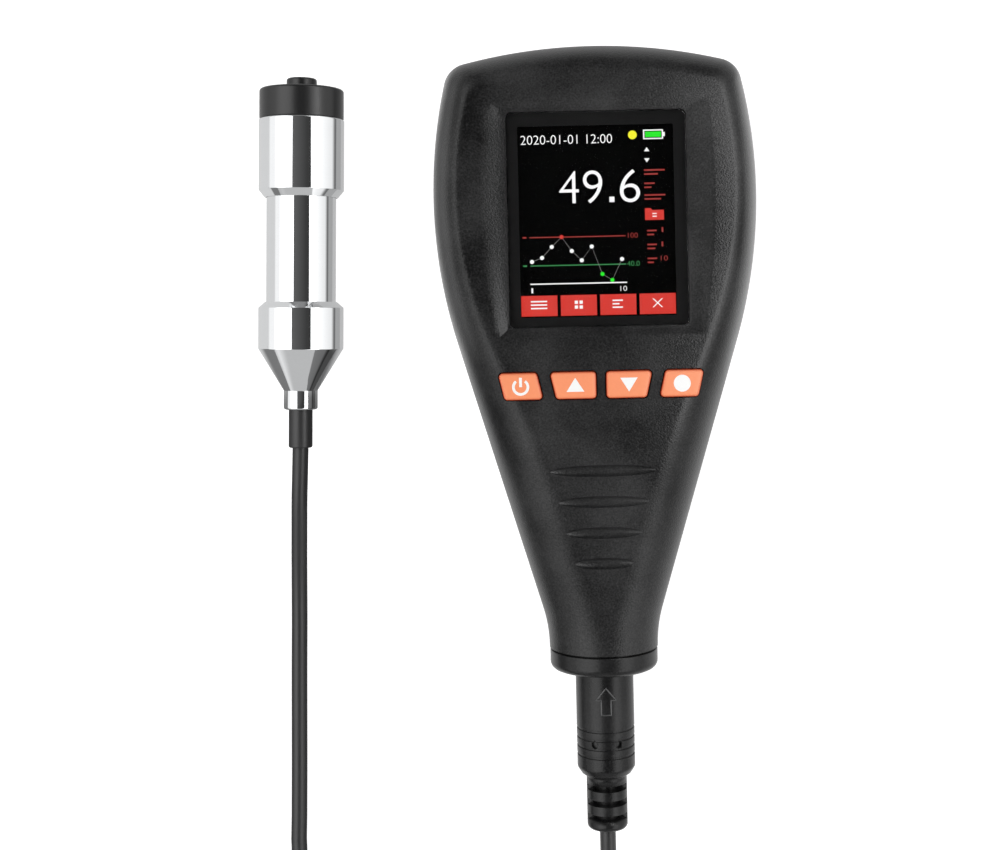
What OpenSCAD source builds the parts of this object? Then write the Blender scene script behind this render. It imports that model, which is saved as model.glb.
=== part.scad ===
// Coating thickness gauge: a paddle-shaped handheld unit that lies on its back with the screen up,
// and a wired probe that lies on the table beside it.
// Millimetres. +X to the right of the screen, +Y to the top of the screen, +Z up from the table.

/* [Housing] */
// Greatest width of the housing
body_w = 70; // [66:0.5:76]
// Length of the housing from the crown to the collar seam
body_l = 130.3; // [126:0.1:138]
// Thickness of the head from back to front face
head_t = 29.5; // [28.5:0.1:33]
// Distance from the crown to the widest place
wide_from_top = 32.3; // [29:0.1:36]
// Radius of the crown
crown_r = 118; // [100:1:150]
// Radius of the two top corners
corner_r = 5.5; // [4:0.1:7]
// Radius of the bulging sides
side_r = 110; // [100:1:125]
// Radius that turns the taper into the round end
neck_r = 30; // [22:1:40]
// Diameter of the round end of the grip
end_d = 23.6; // [23:0.1:25]
// Height of the round end above the table
end_lift = 0.2; // [0.1:0.1:1]
// Width of the rounding along the front edges of the head
front_edge = 6.5; // [5:0.1:8]
// Width of the rounding along the back edges of the head
back_edge = 7; // [5:0.1:8]
// Depth of the rounding along the crown
crown_edge = 7; // [5:0.1:8.5]
// Length over which the head's edges turn into the round grip
edge_blend_l = 68; // [55:1:80]
// Distance from the crown at which the face starts to slope down
slope_from = 74; // [70:0.5:85]
// Wall thickness of both shells
wall = 2.2; // [1.8:0.1:2.5]

/* [Screen] */
// Width of the window pane
window_w = 37.4; // [36:0.1:39]
// Height of the window pane
window_h = 44.8; // [43:0.1:46]
// Thickness of the window pane
window_t = 1.5; // [1:0.1:1.8]
// Corner radius of the window pane
window_corner = 1.2; // [0.6:0.1:2]
// Play round the window pane
window_play = 0.1; // [0.05:0.01:0.2]
// Distance from the crown to the upper edge of the window
window_from_top = 15.7; // [14:0.1:18]
// Depth of the bevelled recess round the window
recess_d = 1.2; // [0.8:0.1:1.5]
// Width of the recess at its upper edge
recess_top_w = 46.8; // [44:0.1:49]
// Width of the recess at its widest place
recess_mid_w = 49.4; // [47:0.1:52]
// Width of the recess at its lower edge
recess_low_w = 43; // [41:0.1:45]
// Height of the bevel above the window
recess_over = 2.9; // [2:0.1:4]
// Height of the bevel below the window
recess_under = 2.4; // [1.6:0.1:3]
// Thickness of the ledge that carries the pane
ledge_t = 1.1; // [0.8:0.1:1.5]
// Wall round the pane inside the shell
frame_wall = 2.4; // [1.8:0.1:3]
// Width of the opening in the ledge
view_w = 33.4; // [32.5:0.1:34.5]
// Height of the opening in the ledge
view_h = 41; // [40:0.1:42]
// Width of the display module
lcd_w = 37.6; // [36:0.1:39]
// Length of the display module
lcd_l = 51; // [49:0.1:53]
// Thickness of the display module
lcd_t = 2.6; // [2:0.1:3]
// Length of the module below its visible area
lcd_chin = 7.4; // [6:0.1:8]

/* [Keys] */
// Height of a key on the face
key_h = 5.6; // [5:0.1:6.5]
// Distance from the window to the keys
key_from_window = 9.3; // [8.5:0.1:11]
// Width of the two outer keys
outer_key_w = 8; // [7:0.1:8.5]
// Width of the two inner keys at their upper edge
inner_key_w = 9.6; // [8.5:0.1:10]
// Sideways lean of the slanted key edges
key_lean = 1.3; // [0.8:0.1:1.8]
// Gap between the two inner keys
key_mid_gap = 2.1; // [1.6:0.1:3]
// Gap between an inner and an outer key
key_gap = 2.7; // [2.2:0.1:3]
// Corner radius of a key
key_corner = 0.8; // [0.4:0.1:1.2]
// Height of a key above the face
key_proud = 0.7; // [0.5:0.1:1.2]
// Travel of a key
key_travel = 0.5; // [0.3:0.1:0.6]
// Gap between a key and its opening
key_play = 0.25; // [0.15:0.05:0.4]
// Width of the flange that keeps a key in the shell
key_flange = 0.6; // [0.5:0.1:0.8]
// Thickness of that flange
key_flange_t = 1.2; // [0.8:0.1:1.6]
// Diameter of a key's plunger
plunger_d = 4; // [3:0.1:4.5]
// Thickness of the rubber mat under the keys
mat_t = 1.2; // [0.8:0.1:1.5]
// Diameter of a contact dome
dome_d = 5; // [4.4:0.1:5.6]
// Height of a contact dome
dome_h = 0.6; // [0.4:0.1:0.8]

/* [Grip] */
// Number of grip grooves
groove_count = 4; // [2:1:5]
// Distance from the keys to the first groove
groove_from_keys = 15.2; // [13:0.1:18]
// Distance between grooves
groove_pitch = 6.6; // [5.5:0.1:7.5]
// Length of the first groove
groove_l = 22; // [18:0.5:24]
// How much shorter each next groove is
groove_step = 3.1; // [2.5:0.1:3.5]
// Width of a groove at its middle
groove_w = 2.2; // [1.6:0.1:2.8]
// Depth of a groove at its middle
groove_d = 0.7; // [0.4:0.1:1]

/* [Board] */
// Thickness of the circuit board
board_t = 1.6; // [1.2:0.1:2]
// Distance from the face to the upper side of the board
board_depth = 9.3; // [9:0.1:10]
// Distance from the housing's outline to the board's edge
board_inset = 4.4; // [4:0.1:5]
// Distance from the keys to the lower end of the board
board_below_keys = 10.6; // [10:0.1:13]
// Diameter of the beeper
beeper_d = 8.4; // [7:0.1:9]
// Height of the beeper
beeper_h = 3.6; // [3:0.1:4]

/* [Batteries] */
// Diameter of a cell
cell_d = 14.3; // [13.8:0.1:14.5]
// Length of a cell without its button
cell_l = 49.2; // [48.5:0.1:49.5]
// Diameter of the cell's button
button_d = 5.2; // [4.8:0.1:5.5]
// Length of the cell's button
button_l = 1.2; // [1:0.1:1.4]
// Distance from the crown to the middle of the battery bay
bay_from_top = 44.5; // [42:0.1:47]
// Play round the cells
cell_play = 0.4; // [0.2:0.1:0.6]
// Length of a contact spring
spring_l = 3.6; // [3:0.1:4.5]
// Thickness of a contact plate
plate_t = 0.5; // [0.3:0.1:0.8]
// Wall of the battery bay
bay_wall = 2.4; // [2:0.1:2.8]
// Thickness of the battery cover
cover_t = 1.8; // [1.5:0.1:2]
// Width of the ledge that the cover lies on
cover_ledge = 1.6; // [1.2:0.1:1.8]
// Gap round the battery cover
cover_play = 0.15; // [0.1:0.05:0.3]
// Length of the cover beyond the bay, where its screw is
cover_tab_l = 9; // [8.5:0.1:11]

/* [Screws] */
// Shank diameter of the case screws
case_screw_d = 2.6; // [2:0.1:3]
// Length of a case screw under its head
case_screw_l = 13; // [11:0.5:14]
// Height of the case screws' seat above the back
case_screw_seat = 5.5; // [4.5:0.1:7]
// Shank diameter of the board and cover screws
small_screw_d = 2; // [1.6:0.1:2.2]
// Length of a board or cover screw under its head
small_screw_l = 5; // [4:0.5:6]
// Head diameter over shank diameter
head_ratio = 1.8; // [1.6:0.05:1.9]
// Head height over shank diameter
head_height_ratio = 0.6; // [0.5:0.05:0.7]
// Radial gap round a screw
screw_play = 0.05; // [0.03:0.01:0.15]
// Wall of a screw boss
boss_wall = 1.6; // [1.2:0.1:1.8]

/* [Collar and socket] */
// Length of the collar at the end of the grip
collar_l = 4.7; // [4:0.1:6]
// Diameter of the collar
collar_d = 23.4; // [22.6:0.1:23.6]
// Rounding of the collar's outer edge
collar_round = 1.6; // [1:0.1:2]
// Length of the collar's spigot in the shells
spigot_l = 5; // [4:0.1:6]
// Height of the lip that holds the spigot
spigot_lip = 0.7; // [0.5:0.1:0.9]
// Length of that lip
spigot_lip_l = 1.4; // [1:0.1:1.8]
// Gap between round parts that are fitted together
fit = 0.1; // [0.05:0.01:0.15]
// Diameter of the lead socket
socket_d = 15; // [14.2:0.1:15.5]
// Length of the lead socket
socket_l = 16; // [15:0.1:19]
// Diameter of the socket's core
core_d = 7.6; // [7.2:0.1:7.7]

/* [Plug] */
// Diameter of the plug
plug_d = 12.6; // [12:0.1:13]
// Length of the plug outside the collar
plug_l = 20.9; // [19:0.1:24]
// Length of the plug inside the collar
plug_insert = 2.2; // [1.5:0.1:3]
// Gap between the plug and the collar
plug_play = 0.3; // [0.2:0.05:0.5]
// Length of the taper behind the plug
shoulder_l = 2.6; // [2:0.1:3.5]
// Diameter of the strain relief
relief_d = 8.8; // [8:0.1:10]
// Length of the strain relief
relief_l = 11.6; // [10.5:0.1:14]
// Number of slots along the strain relief
relief_slots = 3; // [2:1:3]
// Width of a strain relief slot
slot_w = 1.3; // [1:0.1:1.6]
// Number of ring grooves round the plug
ring_count = 4; // [2:1:5]
// Distance between ring grooves
ring_pitch = 1.9; // [1.6:0.1:2.1]
// Width of a ring groove
ring_w = 0.5; // [0.3:0.1:0.7]
// Depth of a ring groove
ring_d = 0.25; // [0.15:0.05:0.4]
// Diameter of the two dimples in the ring grooves
dimple_d = 1.5; // [1:0.1:1.6]
// Diameter of the plug's metal shell
tube_d = 9; // [8.8:0.1:9.4]
// Wall of the metal shell
tube_wall = 0.4; // [0.3:0.05:0.45]
// Length of the metal shell
tube_l = 10.5; // [9.5:0.1:11]
// Number of contact pins
pin_count = 6; // [4:1:7]
// Diameter of a contact pin
pin_d = 1; // [0.8:0.1:1.2]
// Diameter of the circle of pins
pin_ring_d = 4.4; // [4.2:0.1:4.6]

/* [Probe] */
// Diameter of the probe's collars
probe_d = 18.6; // [18:0.1:20]
// Diameter of the black nose cap
nose_d = 18.4; // [17.6:0.1:18.6]
// Length of the nose cap
nose_l = 6.65; // [6.5:0.05:8.5]
// Rounding of the nose cap's edge
nose_round = 1; // [0.5:0.1:1.5]
// Length of the front collar
front_l = 15.6; // [14.5:0.1:18]
// Length of the bevel behind the front collar
front_bevel = 1.6; // [1:0.1:2.2]
// Diameter of the barrel
barrel_d = 15.2; // [14.8:0.1:15.6]
// Length of barrel between the two collars
barrel_l = 22.9; // [20:0.1:27]
// Wall of the barrel
barrel_wall = 2; // [1.5:0.1:2.5]
// Length of the bevel before the rear collar
rear_bevel = 1.3; // [1:0.1:2]
// Length of the rear collar
rear_l = 9; // [8:0.1:11]
// Length of the rear cone
cone_l = 9.2; // [8:0.1:11]
// Diameter of the ferrule behind the cone
ferrule_d = 7.4; // [7:0.1:8.5]
// Length of the ferrule
ferrule_l = 4.2; // [3.5:0.1:6]
// Diameter of the cable sleeve
sleeve_d = 5.2; // [4.6:0.1:5.6]
// Length of the cable sleeve outside the ferrule
sleeve_l = 8.4; // [7:0.1:11]
// Diameter of the measuring tip
tip_d = 6.6; // [6:0.1:7]
// Height of the measuring tip in front of the cap
tip_proud = 2.4; // [2:0.1:3]
// Travel of the measuring tip
tip_travel = 1.8; // [1.2:0.1:1.9]
// Diameter of the sensor's iron core
iron_d = 2.4; // [2:0.1:2.8]
// Outer diameter of the sensor's winding
winding_d = 8.4; // [7.5:0.1:9]
// Length of the sensor's winding
winding_l = 4.5; // [3.5:0.1:5]
// Thickness of the guide bush
bush_t = 2; // [1.5:0.1:3]
// Wire diameter of the tip spring
tip_wire_d = 0.6; // [0.4:0.1:0.7]

/* [Lead] */
// Diameter of the cable
cable_d = 3.5; // [3:0.1:4]
// Diameter of the coil at the middle of its turns
coil_d = 40.6; // [38:0.1:42]
// Turns side by side in one layer of the coil
coil_wide = 3.25; // [3:0.25:3.5]
// Layers of the coil
coil_layers = 2; // [2:1:3]
// Thickness of the tie round the coil
tie_t = 0.9; // [0.6:0.1:1.2]
// Width of the tie
tie_w = 6; // [4:0.5:8]

/* [Place of the probe] */
// Distance of the probe's nose from the unit's axis
probe_x = 63.8; // [58:0.1:75]
// Distance of the probe's nose above the middle of the unit
probe_y = 60.35; // [50:0.05:70]
// Turn of the probe against the unit, degrees
probe_turn = 1.43; // [0:0.01:3]

/* [Hidden] */
$fn = 64;

graphite = [0.16, 0.16, 0.17];
soot = [0.10, 0.10, 0.11];
glass_black = [0.06, 0.06, 0.07];
orange = [0.93, 0.50, 0.27];
chrome = [0.80, 0.81, 0.83];
brass = [0.80, 0.66, 0.36];
steel = [0.62, 0.64, 0.66];
board_green = [0.10, 0.36, 0.20];
copper = [0.72, 0.42, 0.24];
rubber = [0.24, 0.24, 0.25];
cell_grey = [0.45, 0.47, 0.50];

// Cuts run past the faces that they open by this much.
over = 0.5;
half_w = body_w / 2;
end_r = end_d / 2;
split_z = end_r + end_lift;
body_top = (body_l + collar_l) / 2;
seam_y = body_top - body_l;
wide_y = body_top - wide_from_top;
inner_face_z = head_t - wall;

// Facets of one half of the plan outline, and of a section from the seam to the face.
crown_n = 5;
corner_n = 6;
side_n = 11;
taper_n = 6;
neck_n = 5;
ring_n = 8;
// Share of the round end's radius that its edge rounding takes up.
end_roundness = 0.98;

function mix(a, b, f) = a + (b - a) * f;
function ease(u) = let (v = min(1, max(0, u))) v * v * (3 - 2 * v);
function on_circle(c, r, a) = c + r * [sin(a), cos(a)];
function triangles(q) = [[q[0], q[1], q[2]], [q[0], q[2], q[3]]];
function backwards(list) = [for (i = [len(list) - 1:-1:0]) list[i]];

// The upper right meeting point of two circles.
function circles_meet(p, rp, q, rq) =
    let (
        d = norm(q - p),
        u = (q - p) / d,
        a = (d * d + rp * rp - rq * rq) / (2 * d),
        h = sqrt(rp * rp - a * a)
    )
    p + u * a + [u.y, -u.x] * h;

// Plan outline: crown arc, corner, bulging side, straight taper and hollow neck, all tangent.
crown_c = [0, body_top - crown_r];
side_c = [half_w - side_r, wide_y];
corner_c = circles_meet(crown_c, crown_r - corner_r, side_c, side_r - corner_r);
neck_c = [end_r + neck_r, seam_y];
crown_a = atan2(corner_c.x - crown_c.x, corner_c.y - crown_c.y);
side_a = atan2(corner_c.x - side_c.x, corner_c.y - side_c.y);
neck_span = [neck_c.x - side_c.x, side_c.y - neck_c.y];
taper_a = atan2(neck_span.y, neck_span.x) - acos((side_r + neck_r) / norm(neck_span));
taper_start = on_circle(side_c, side_r, 90 + taper_a);
taper_end = neck_c + neck_r * [-cos(taper_a), sin(taper_a)];

right_half = concat(
    [for (i = [0:crown_n - 1]) on_circle(crown_c, crown_r, crown_a * i / crown_n)],
    [for (i = [0:corner_n - 1]) on_circle(corner_c, corner_r, mix(crown_a, side_a, i / corner_n))],
    [for (i = [0:side_n - 1]) on_circle(side_c, side_r, mix(side_a, 90 + taper_a, i / side_n))],
    [for (i = [0:taper_n - 1]) mix(taper_start, taper_end, i / taper_n)],
    [for (i = [0:neck_n]) let (a = taper_a * (1 - i / neck_n)) neck_c + neck_r * [-cos(a), sin(a)]]
);
outline = concat(
    backwards(right_half),
    [for (i = [1:len(right_half) - 1]) [-right_half[i].x, right_half[i].y]]
);
outline_n = len(outline);

// The outline drawn in by a distance: towards the widest line above it, straight across below it.
function drawn_in(p, d) =
    p.y > wide_y
    ? [p.x * (1 - d / half_w), wide_y + (p.y - wide_y) * (1 - d / wide_from_top)]
    : [p.x - sign(p.x) * d, p.y];
function face_z(y) =
    head_t - (head_t - split_z - end_r) * ease((body_top - y - slope_from) / (body_l - slope_from));
function back_z(y) = end_lift * ease((body_top - y - slope_from) / (body_l - slope_from));
function edge_at(y, edge, depth) =
    mix(edge, (end_r - depth) * end_roundness, ease((wide_y - y) / edge_blend_l));

// One point of a skin: p on its outline at the seam, a from 0 at the seam to 90 on the face.
function skin_xy(p, a, edge, depth) =
    let (q = 1 - cos(a))
    p.y > wide_y
    ? [
        p.x * (1 - q * edge / (half_w - depth)),
        wide_y + (p.y - wide_y) * (1 - q * crown_edge / (wide_from_top - depth))
    ]
    : [p.x * (1 - q * edge_at(p.y, edge, depth) / abs(p.x)), p.y];
function skin_z(y, a, depth, front) =
    front
    ? split_z + (face_z(y) - depth - split_z) * sin(a)
    : split_z - (split_z - back_z(y) - depth) * sin(a);
function skin(depth, front) = [
    for (k = [0:ring_n])
        for (p = outline)
            let (
                a = 90 * k / ring_n,
                xy = skin_xy(drawn_in(p, depth), a, front ? front_edge : back_edge, depth)
            )
            [xy.x, xy.y, skin_z(xy.y, a, depth, front)]
];

// Faces of a bowl: outer and inner skin, the rim at the seam and the open round end.
function bowl_faces() =
    let (
        n = outline_n,
        middle = (n - 1) / 2,
        inner = (ring_n + 1) * n,
        top = ring_n * n,
        walls = [
            for (k = [0:ring_n - 1])
                for (j = [0:n - 2])
                    let (a = k * n + j)
                    [a, a + n, a + n + 1, a + 1]
        ],
        lids = [
            for (j = [0:middle - 2]) [top + j, top + n - 1 - j, top + n - 2 - j, top + j + 1]
        ],
        peak = [top + middle - 1, top + middle + 1, top + middle],
        rim = [for (j = [0:n - 2]) [j, j + 1, inner + j + 1, inner + j]],
        right_end = [for (k = [0:ring_n - 1]) [(k + 1) * n, k * n, inner + k * n, inner + (k + 1) * n]],
        left_end = [
            for (k = [0:ring_n - 1])
                let (a = k * n + n - 1)
                [a, a + n, inner + a + n, inner + a]
        ],
        end_top = [top + n - 1, top, inner + top, inner + top + n - 1],
        outside = concat(walls, lids),
        inside = [for (f = outside) [for (i = backwards(f)) i + inner]],
        quads = concat(outside, inside, rim, right_end, left_end, [end_top])
    )
    concat(
        [for (q = quads) each triangles(q)],
        [peak, [for (i = backwards(peak)) i + inner]]
    );

module bowl(front) {
    faces = bowl_faces();
    polyhedron(
        points = concat(skin(0, front), skin(wall, front)),
        faces = front ? faces : [for (f = faces) backwards(f)]
    );
}

// Rounded corners on a polygon given counter-clockwise.
corner_steps = 5;
function rounded(pts, r) = [
    for (i = [0:len(pts) - 1])
        let (
            p = pts[i],
            u = pts[(i + len(pts) - 1) % len(pts)] - p,
            v = pts[(i + 1) % len(pts)] - p,
            un = u / norm(u),
            vn = v / norm(v),
            half = acos(un * vn) / 2,
            bisector = (un + vn) / norm(un + vn),
            c = p + bisector * r / sin(half),
            turn = 180 - 2 * half,
            from = atan2(-bisector.y, -bisector.x) - turn / 2
        )
        for (s = [0:corner_steps])
            let (a = from + turn * s / corner_steps)
            c + r * [cos(a), sin(a)]
];
function box_points(w, h) = [[-w / 2, -h / 2], [w / 2, -h / 2], [w / 2, h / 2], [-w / 2, h / 2]];

// A solid between two outlines of equally many points.
module loft(low, low_z, high, high_z) {
    n = len(low);
    polyhedron(
        points = concat([for (p = low) [p.x, p.y, low_z]], [for (p = high) [p.x, p.y, high_z]]),
        faces = concat(
            [[for (i = [0:n - 1]) i]],
            [[for (i = [n - 1:-1:0]) n + i]],
            [for (i = [0:n - 1]) each triangles([i, n + i, n + (i + 1) % n, (i + 1) % n])]
        )
    );
}

// A tube swept along points; up is never along the path.
function path_frame(pts, i, up) =
    let (
        t = pts[min(i + 1, len(pts) - 1)] - pts[max(i - 1, 0)],
        tn = t / norm(t),
        n = cross(tn, up)
    )
    [n / norm(n), cross(n / norm(n), tn)];
module swept_tube(pts, r, sides, up = [0, 0, 1]) {
    n = len(pts);
    polyhedron(
        points = [
            for (i = [0:n - 1])
                let (f = path_frame(pts, i, up))
                for (s = [0:sides - 1])
                    pts[i] + r * (f[0] * cos(360 * s / sides) + f[1] * sin(360 * s / sides))
        ],
        faces = concat(
            [[for (s = [0:sides - 1]) s]],
            [[for (s = [sides - 1:-1:0]) (n - 1) * sides + s]],
            [
                for (i = [0:n - 2])
                    for (s = [0:sides - 1])
                        let (a = i * sides + s, b = i * sides + (s + 1) % sides)
                        each triangles([a, a + sides, b + sides, b])
            ]
        )
    );
}
helix_steps = 12;
function helix(r0, r1, length, turns) = [
    for (i = [0:turns * helix_steps])
        let (u = i / (turns * helix_steps), a = 360 * turns * u)
        [mix(r0, r1, u) * cos(a), mix(r0, r1, u) * sin(a), length * u]
];

// Arc points of a turned profile, from angle a0 to a1 about c.
function arc(c, r, a0, a1) = [
    for (s = [0:corner_steps]) let (a = mix(a0, a1, s / corner_steps)) c + r * [cos(a), sin(a)]
];

// Window, recess and ledge.
window_top = body_top - window_from_top;
window_y = window_top - window_h / 2;
window_low = window_top - window_h;
pane_z = head_t - recess_d - window_t;
ledge_z = pane_z - ledge_t;
recess_top = window_top + recess_over;
recess_low = window_low - recess_under;
recess_bulge_y = wide_y;
recess_steps = 6;
// Recess half-width: an arc-like bulge through its upper, widest and lower widths.
function recess_half(y) =
    y > recess_bulge_y
    ? mix(recess_mid_w, recess_top_w, pow((y - recess_bulge_y) / (recess_top - recess_bulge_y), 2)) / 2
    : mix(recess_mid_w, recess_low_w, pow((recess_bulge_y - y) / (recess_bulge_y - recess_low), 2)) / 2;
// The recess's rim is carried on past the face along the same slope.
recess_run = over / recess_d;
function recess_rim() = [
    for (i = [0:recess_steps])
        let (y = mix(recess_low, recess_top, i / recess_steps))
        [recess_half(y), y]
];
function recess_foot() = [
    for (i = [0:recess_steps]) [window_w / 2, mix(window_low, window_top, i / recess_steps)]
];
function mirrored_loop(side) = concat(side, [for (p = backwards(side)) [-p.x, p.y]]);
module recess_cut() {
    foot = mirrored_loop(recess_foot());
    rim = mirrored_loop(recess_rim());
    n = len(foot);
    bands = [for (i = [0:recess_steps - 1]) [i, i + 1, n - 2 - i, n - 1 - i]];
    polyhedron(
        points = concat(
            [for (p = foot) [p.x, p.y, head_t - recess_d]],
            [for (i = [0:n - 1]) let (p = rim[i] + (rim[i] - foot[i]) * recess_run) [p.x, p.y, head_t + over]]
        ),
        faces = concat(
            [for (q = bands) each triangles(q)],
            [for (q = bands) each triangles([for (i = backwards(q)) n + i])],
            [for (i = [0:n - 1]) each triangles([i, n + i, n + (i + 1) % n, (i + 1) % n])]
        )
    );
}
module window_plate(grow, z, t) {
    translate([0, window_y, z])
        linear_extrude(t)
            polygon(rounded(box_points(window_w + 2 * grow, window_h + 2 * grow), window_corner));
}
module view_opening() {
    translate([-view_w / 2, window_y - view_h / 2, ledge_z - over]) cube([view_w, view_h, head_t]);
}

// Keys: outer ones lean with the housing's edge, inner ones lean on one side only.
key_top = window_low - key_from_window;
key_low = key_top - key_h;
key_y = (key_top + key_low) / 2;
inner_x0 = key_mid_gap / 2;
inner_x1 = inner_x0 + inner_key_w;
outer_x0 = inner_x1 + key_gap;
outer_x1 = outer_x0 + outer_key_w;
function inner_key() = [
    [inner_x0, key_low], [inner_x1 - key_lean, key_low], [inner_x1, key_top], [inner_x0, key_top]
];
function outer_key() = [
    [outer_x0 - key_lean, key_low], [outer_x1 - key_lean, key_low], [outer_x1, key_top], [outer_x0, key_top]
];
function centre(pts) = [for (k = [0, 1]) (pts[0][k] + pts[1][k] + pts[2][k] + pts[3][k]) / 4];
// Each key edge moved outwards by the same distance.
function grown(pts, d) = [
    for (i = [0:3])
        let (
            p = pts[i],
            a = (p - pts[(i + 3) % 4]) / norm(p - pts[(i + 3) % 4]),
            b = (pts[(i + 1) % 4] - p) / norm(pts[(i + 1) % 4] - p),
            na = [a.y, -a.x],
            nb = [b.y, -b.x]
        )
        p + (na + nb) * d / (1 + na * nb)
];
module key_prism(pts, grow, z0, z1) {
    translate([0, 0, z0])
        linear_extrude(z1 - z0)
            polygon(rounded(grown(pts, grow), key_corner + grow));
}
module both_sides() {
    children();
    mirror([1, 0, 0]) children();
}

board_z = head_t - board_depth - board_t;
board_top = board_z + board_t;
dome_top = board_top + dome_h;
key_foot = dome_top + key_travel + screw_play;
flange_top = inner_face_z - fit;
key_edge = 0.4;
flange_low = flange_top - key_flange_t;

module key_solid(pts) {
    c = centre(pts);
    top = head_t + key_proud;
    color(orange) union() {
        key_prism(pts, 0, flange_top - over, top - key_edge);
        loft(
            rounded(pts, key_corner), top - key_edge,
            rounded(grown(pts, -key_edge), key_corner), top
        );
        key_prism(pts, key_flange, flange_low, flange_top);
        translate([c.x, c.y, key_foot]) cylinder(d = plunger_d, h = flange_top - key_foot);
    }
}
module key_up() mirror([1, 0, 0]) key_solid(inner_key());
module key_down() key_solid(inner_key());
module key_power() mirror([1, 0, 0]) key_solid(outer_key());
module key_record() key_solid(outer_key());

module keypad_mat() {
    margin = key_flange + key_play;
    dome_room = 0.6;
    hole_d = dome_d + 2 * dome_room;
    color(rubber) difference() {
        translate([-outer_x1 - margin, key_low - margin, board_top])
            cube([2 * (outer_x1 + margin), key_h + 2 * margin, mat_t]);
        both_sides()
            for (k = [inner_key(), outer_key()])
                translate([centre(k).x, centre(k).y, board_top - over])
                    cylinder(d = hole_d, h = mat_t + 2 * over);
    }
}
module contact_domes()
    color(steel)
        both_sides()
            for (k = [inner_key(), outer_key()])
                translate([centre(k).x, centre(k).y, board_top])
                    cylinder(d1 = dome_d, d2 = dome_d / 2, h = dome_h);

// Grip grooves: lens-shaped pockets square to the sloping face.
function face_slope(y) = atan((face_z(y + over) - face_z(y - over)) / (2 * over));
module lens(length, width) {
    r = (length * length + width * width) / (4 * width);
    intersection() {
        translate([0, r - width / 2]) circle(r);
        translate([0, width / 2 - r]) circle(r);
    }
}
module grip_grooves() {
    for (i = [0:groove_count - 1])
        let (y = key_low - groove_from_keys - i * groove_pitch)
            translate([0, y, face_z(y)])
                rotate([face_slope(y), 0, 0])
                    translate([0, 0, -groove_d])
                        linear_extrude(groove_d + over) lens(groove_l - i * groove_step, groove_w);
}

// Screws stand on their heads, shank up.
slot_share = 0.55;
slot_t = 0.5;
head_play = 0.2;
module screw(d, length) {
    head_d = d * head_ratio;
    head_h = d * head_height_ratio;
    color(steel) difference() {
        union() {
            translate([0, 0, -head_h]) cylinder(d = head_d, h = head_h);
            cylinder(d = d, h = length);
        }
        for (a = [0, 90])
            rotate([0, 0, a])
                translate([-head_d * slot_share / 2, -slot_t / 2, -head_h - over])
                    cube([head_d * slot_share, slot_t, head_h / 2 + over]);
    }
}
function hole_r(d) = d / 2 + screw_play;
function boss_r(d) = hole_r(d) + boss_wall;
function head_hole_r(d) = d * head_ratio / 2 + head_play;

// Case screws: two beside the crown, two in the grip.
crown_screw_in = 9.5;
crown_screw_down = 16.5;
grip_screw_x = 8.5;
grip_screw_up = 25;
grip_screw_y = seam_y + grip_screw_up;
case_screw_at = [
    [half_w - crown_screw_in, body_top - crown_screw_down], [grip_screw_x, grip_screw_y]
];
// Board screws: beside the window and beside the keys, equally far from the housing's side.
board_screw_in = 7;
board_screw_down = 8;
key_boss_gap = 1;
function side_x(y) = side_c.x + sqrt(side_r * side_r - pow(y - side_c.y, 2));
board_screw_y = [window_top - board_screw_down, key_top + key_flange + boss_r(small_screw_d) + key_boss_gap];
board_screw_at = [for (y = board_screw_y) [side_x(y) - board_screw_in, y]];
board_screw_deep = small_screw_l - board_t;
module at_mirrored(places) {
    for (p = places)
        for (s = [-1, 1])
            translate([s * p.x, p.y, 0]) children();
}
module case_screws()
    at_mirrored(case_screw_at) translate([0, 0, case_screw_seat]) screw(case_screw_d, case_screw_l);
module board_screws()
    at_mirrored(board_screw_at) translate([0, 0, board_z]) screw(small_screw_d, small_screw_l);

// Bosses beside the crown end in the face's wall, the lower ones in the curved side walls.
face_boss_top = inner_face_z + wall / 3;
// Height of the front skin at x on the straight taper.
function taper_x(y) = mix(taper_end.x, taper_start.x, (y - taper_end.y) / (taper_start.y - taper_end.y));
function taper_height(x, y) =
    let (q = min(1, (taper_x(y) - x) / edge_at(y, front_edge, 0)))
    split_z + (face_z(y) - split_z) * sqrt(1 - (1 - q) * (1 - q));
boss_cover = 0.6;
grip_boss_top = taper_height(grip_screw_x + boss_r(case_screw_d), grip_screw_y) - boss_cover;
key_boss_top = board_top + board_screw_deep + boss_wall;
module boss(p, d, z0, z1)
    at_mirrored([p]) translate([0, 0, z0]) cylinder(r = boss_r(d), h = z1 - z0);
module front_bosses() {
    boss(case_screw_at[0], case_screw_d, split_z, face_boss_top);
    boss(case_screw_at[1], case_screw_d, split_z, grip_boss_top);
    boss(board_screw_at[0], small_screw_d, board_top, face_boss_top);
    boss(board_screw_at[1], small_screw_d, board_top, key_boss_top);
}
module front_screw_holes() {
    at_mirrored(case_screw_at)
        translate([0, 0, split_z - over])
            cylinder(r = hole_r(case_screw_d), h = case_screw_seat + case_screw_l - split_z + 2 * over);
    at_mirrored(board_screw_at)
        translate([0, 0, board_top - over])
            cylinder(r = hole_r(small_screw_d), h = board_screw_deep + 2 * over);
}
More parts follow.
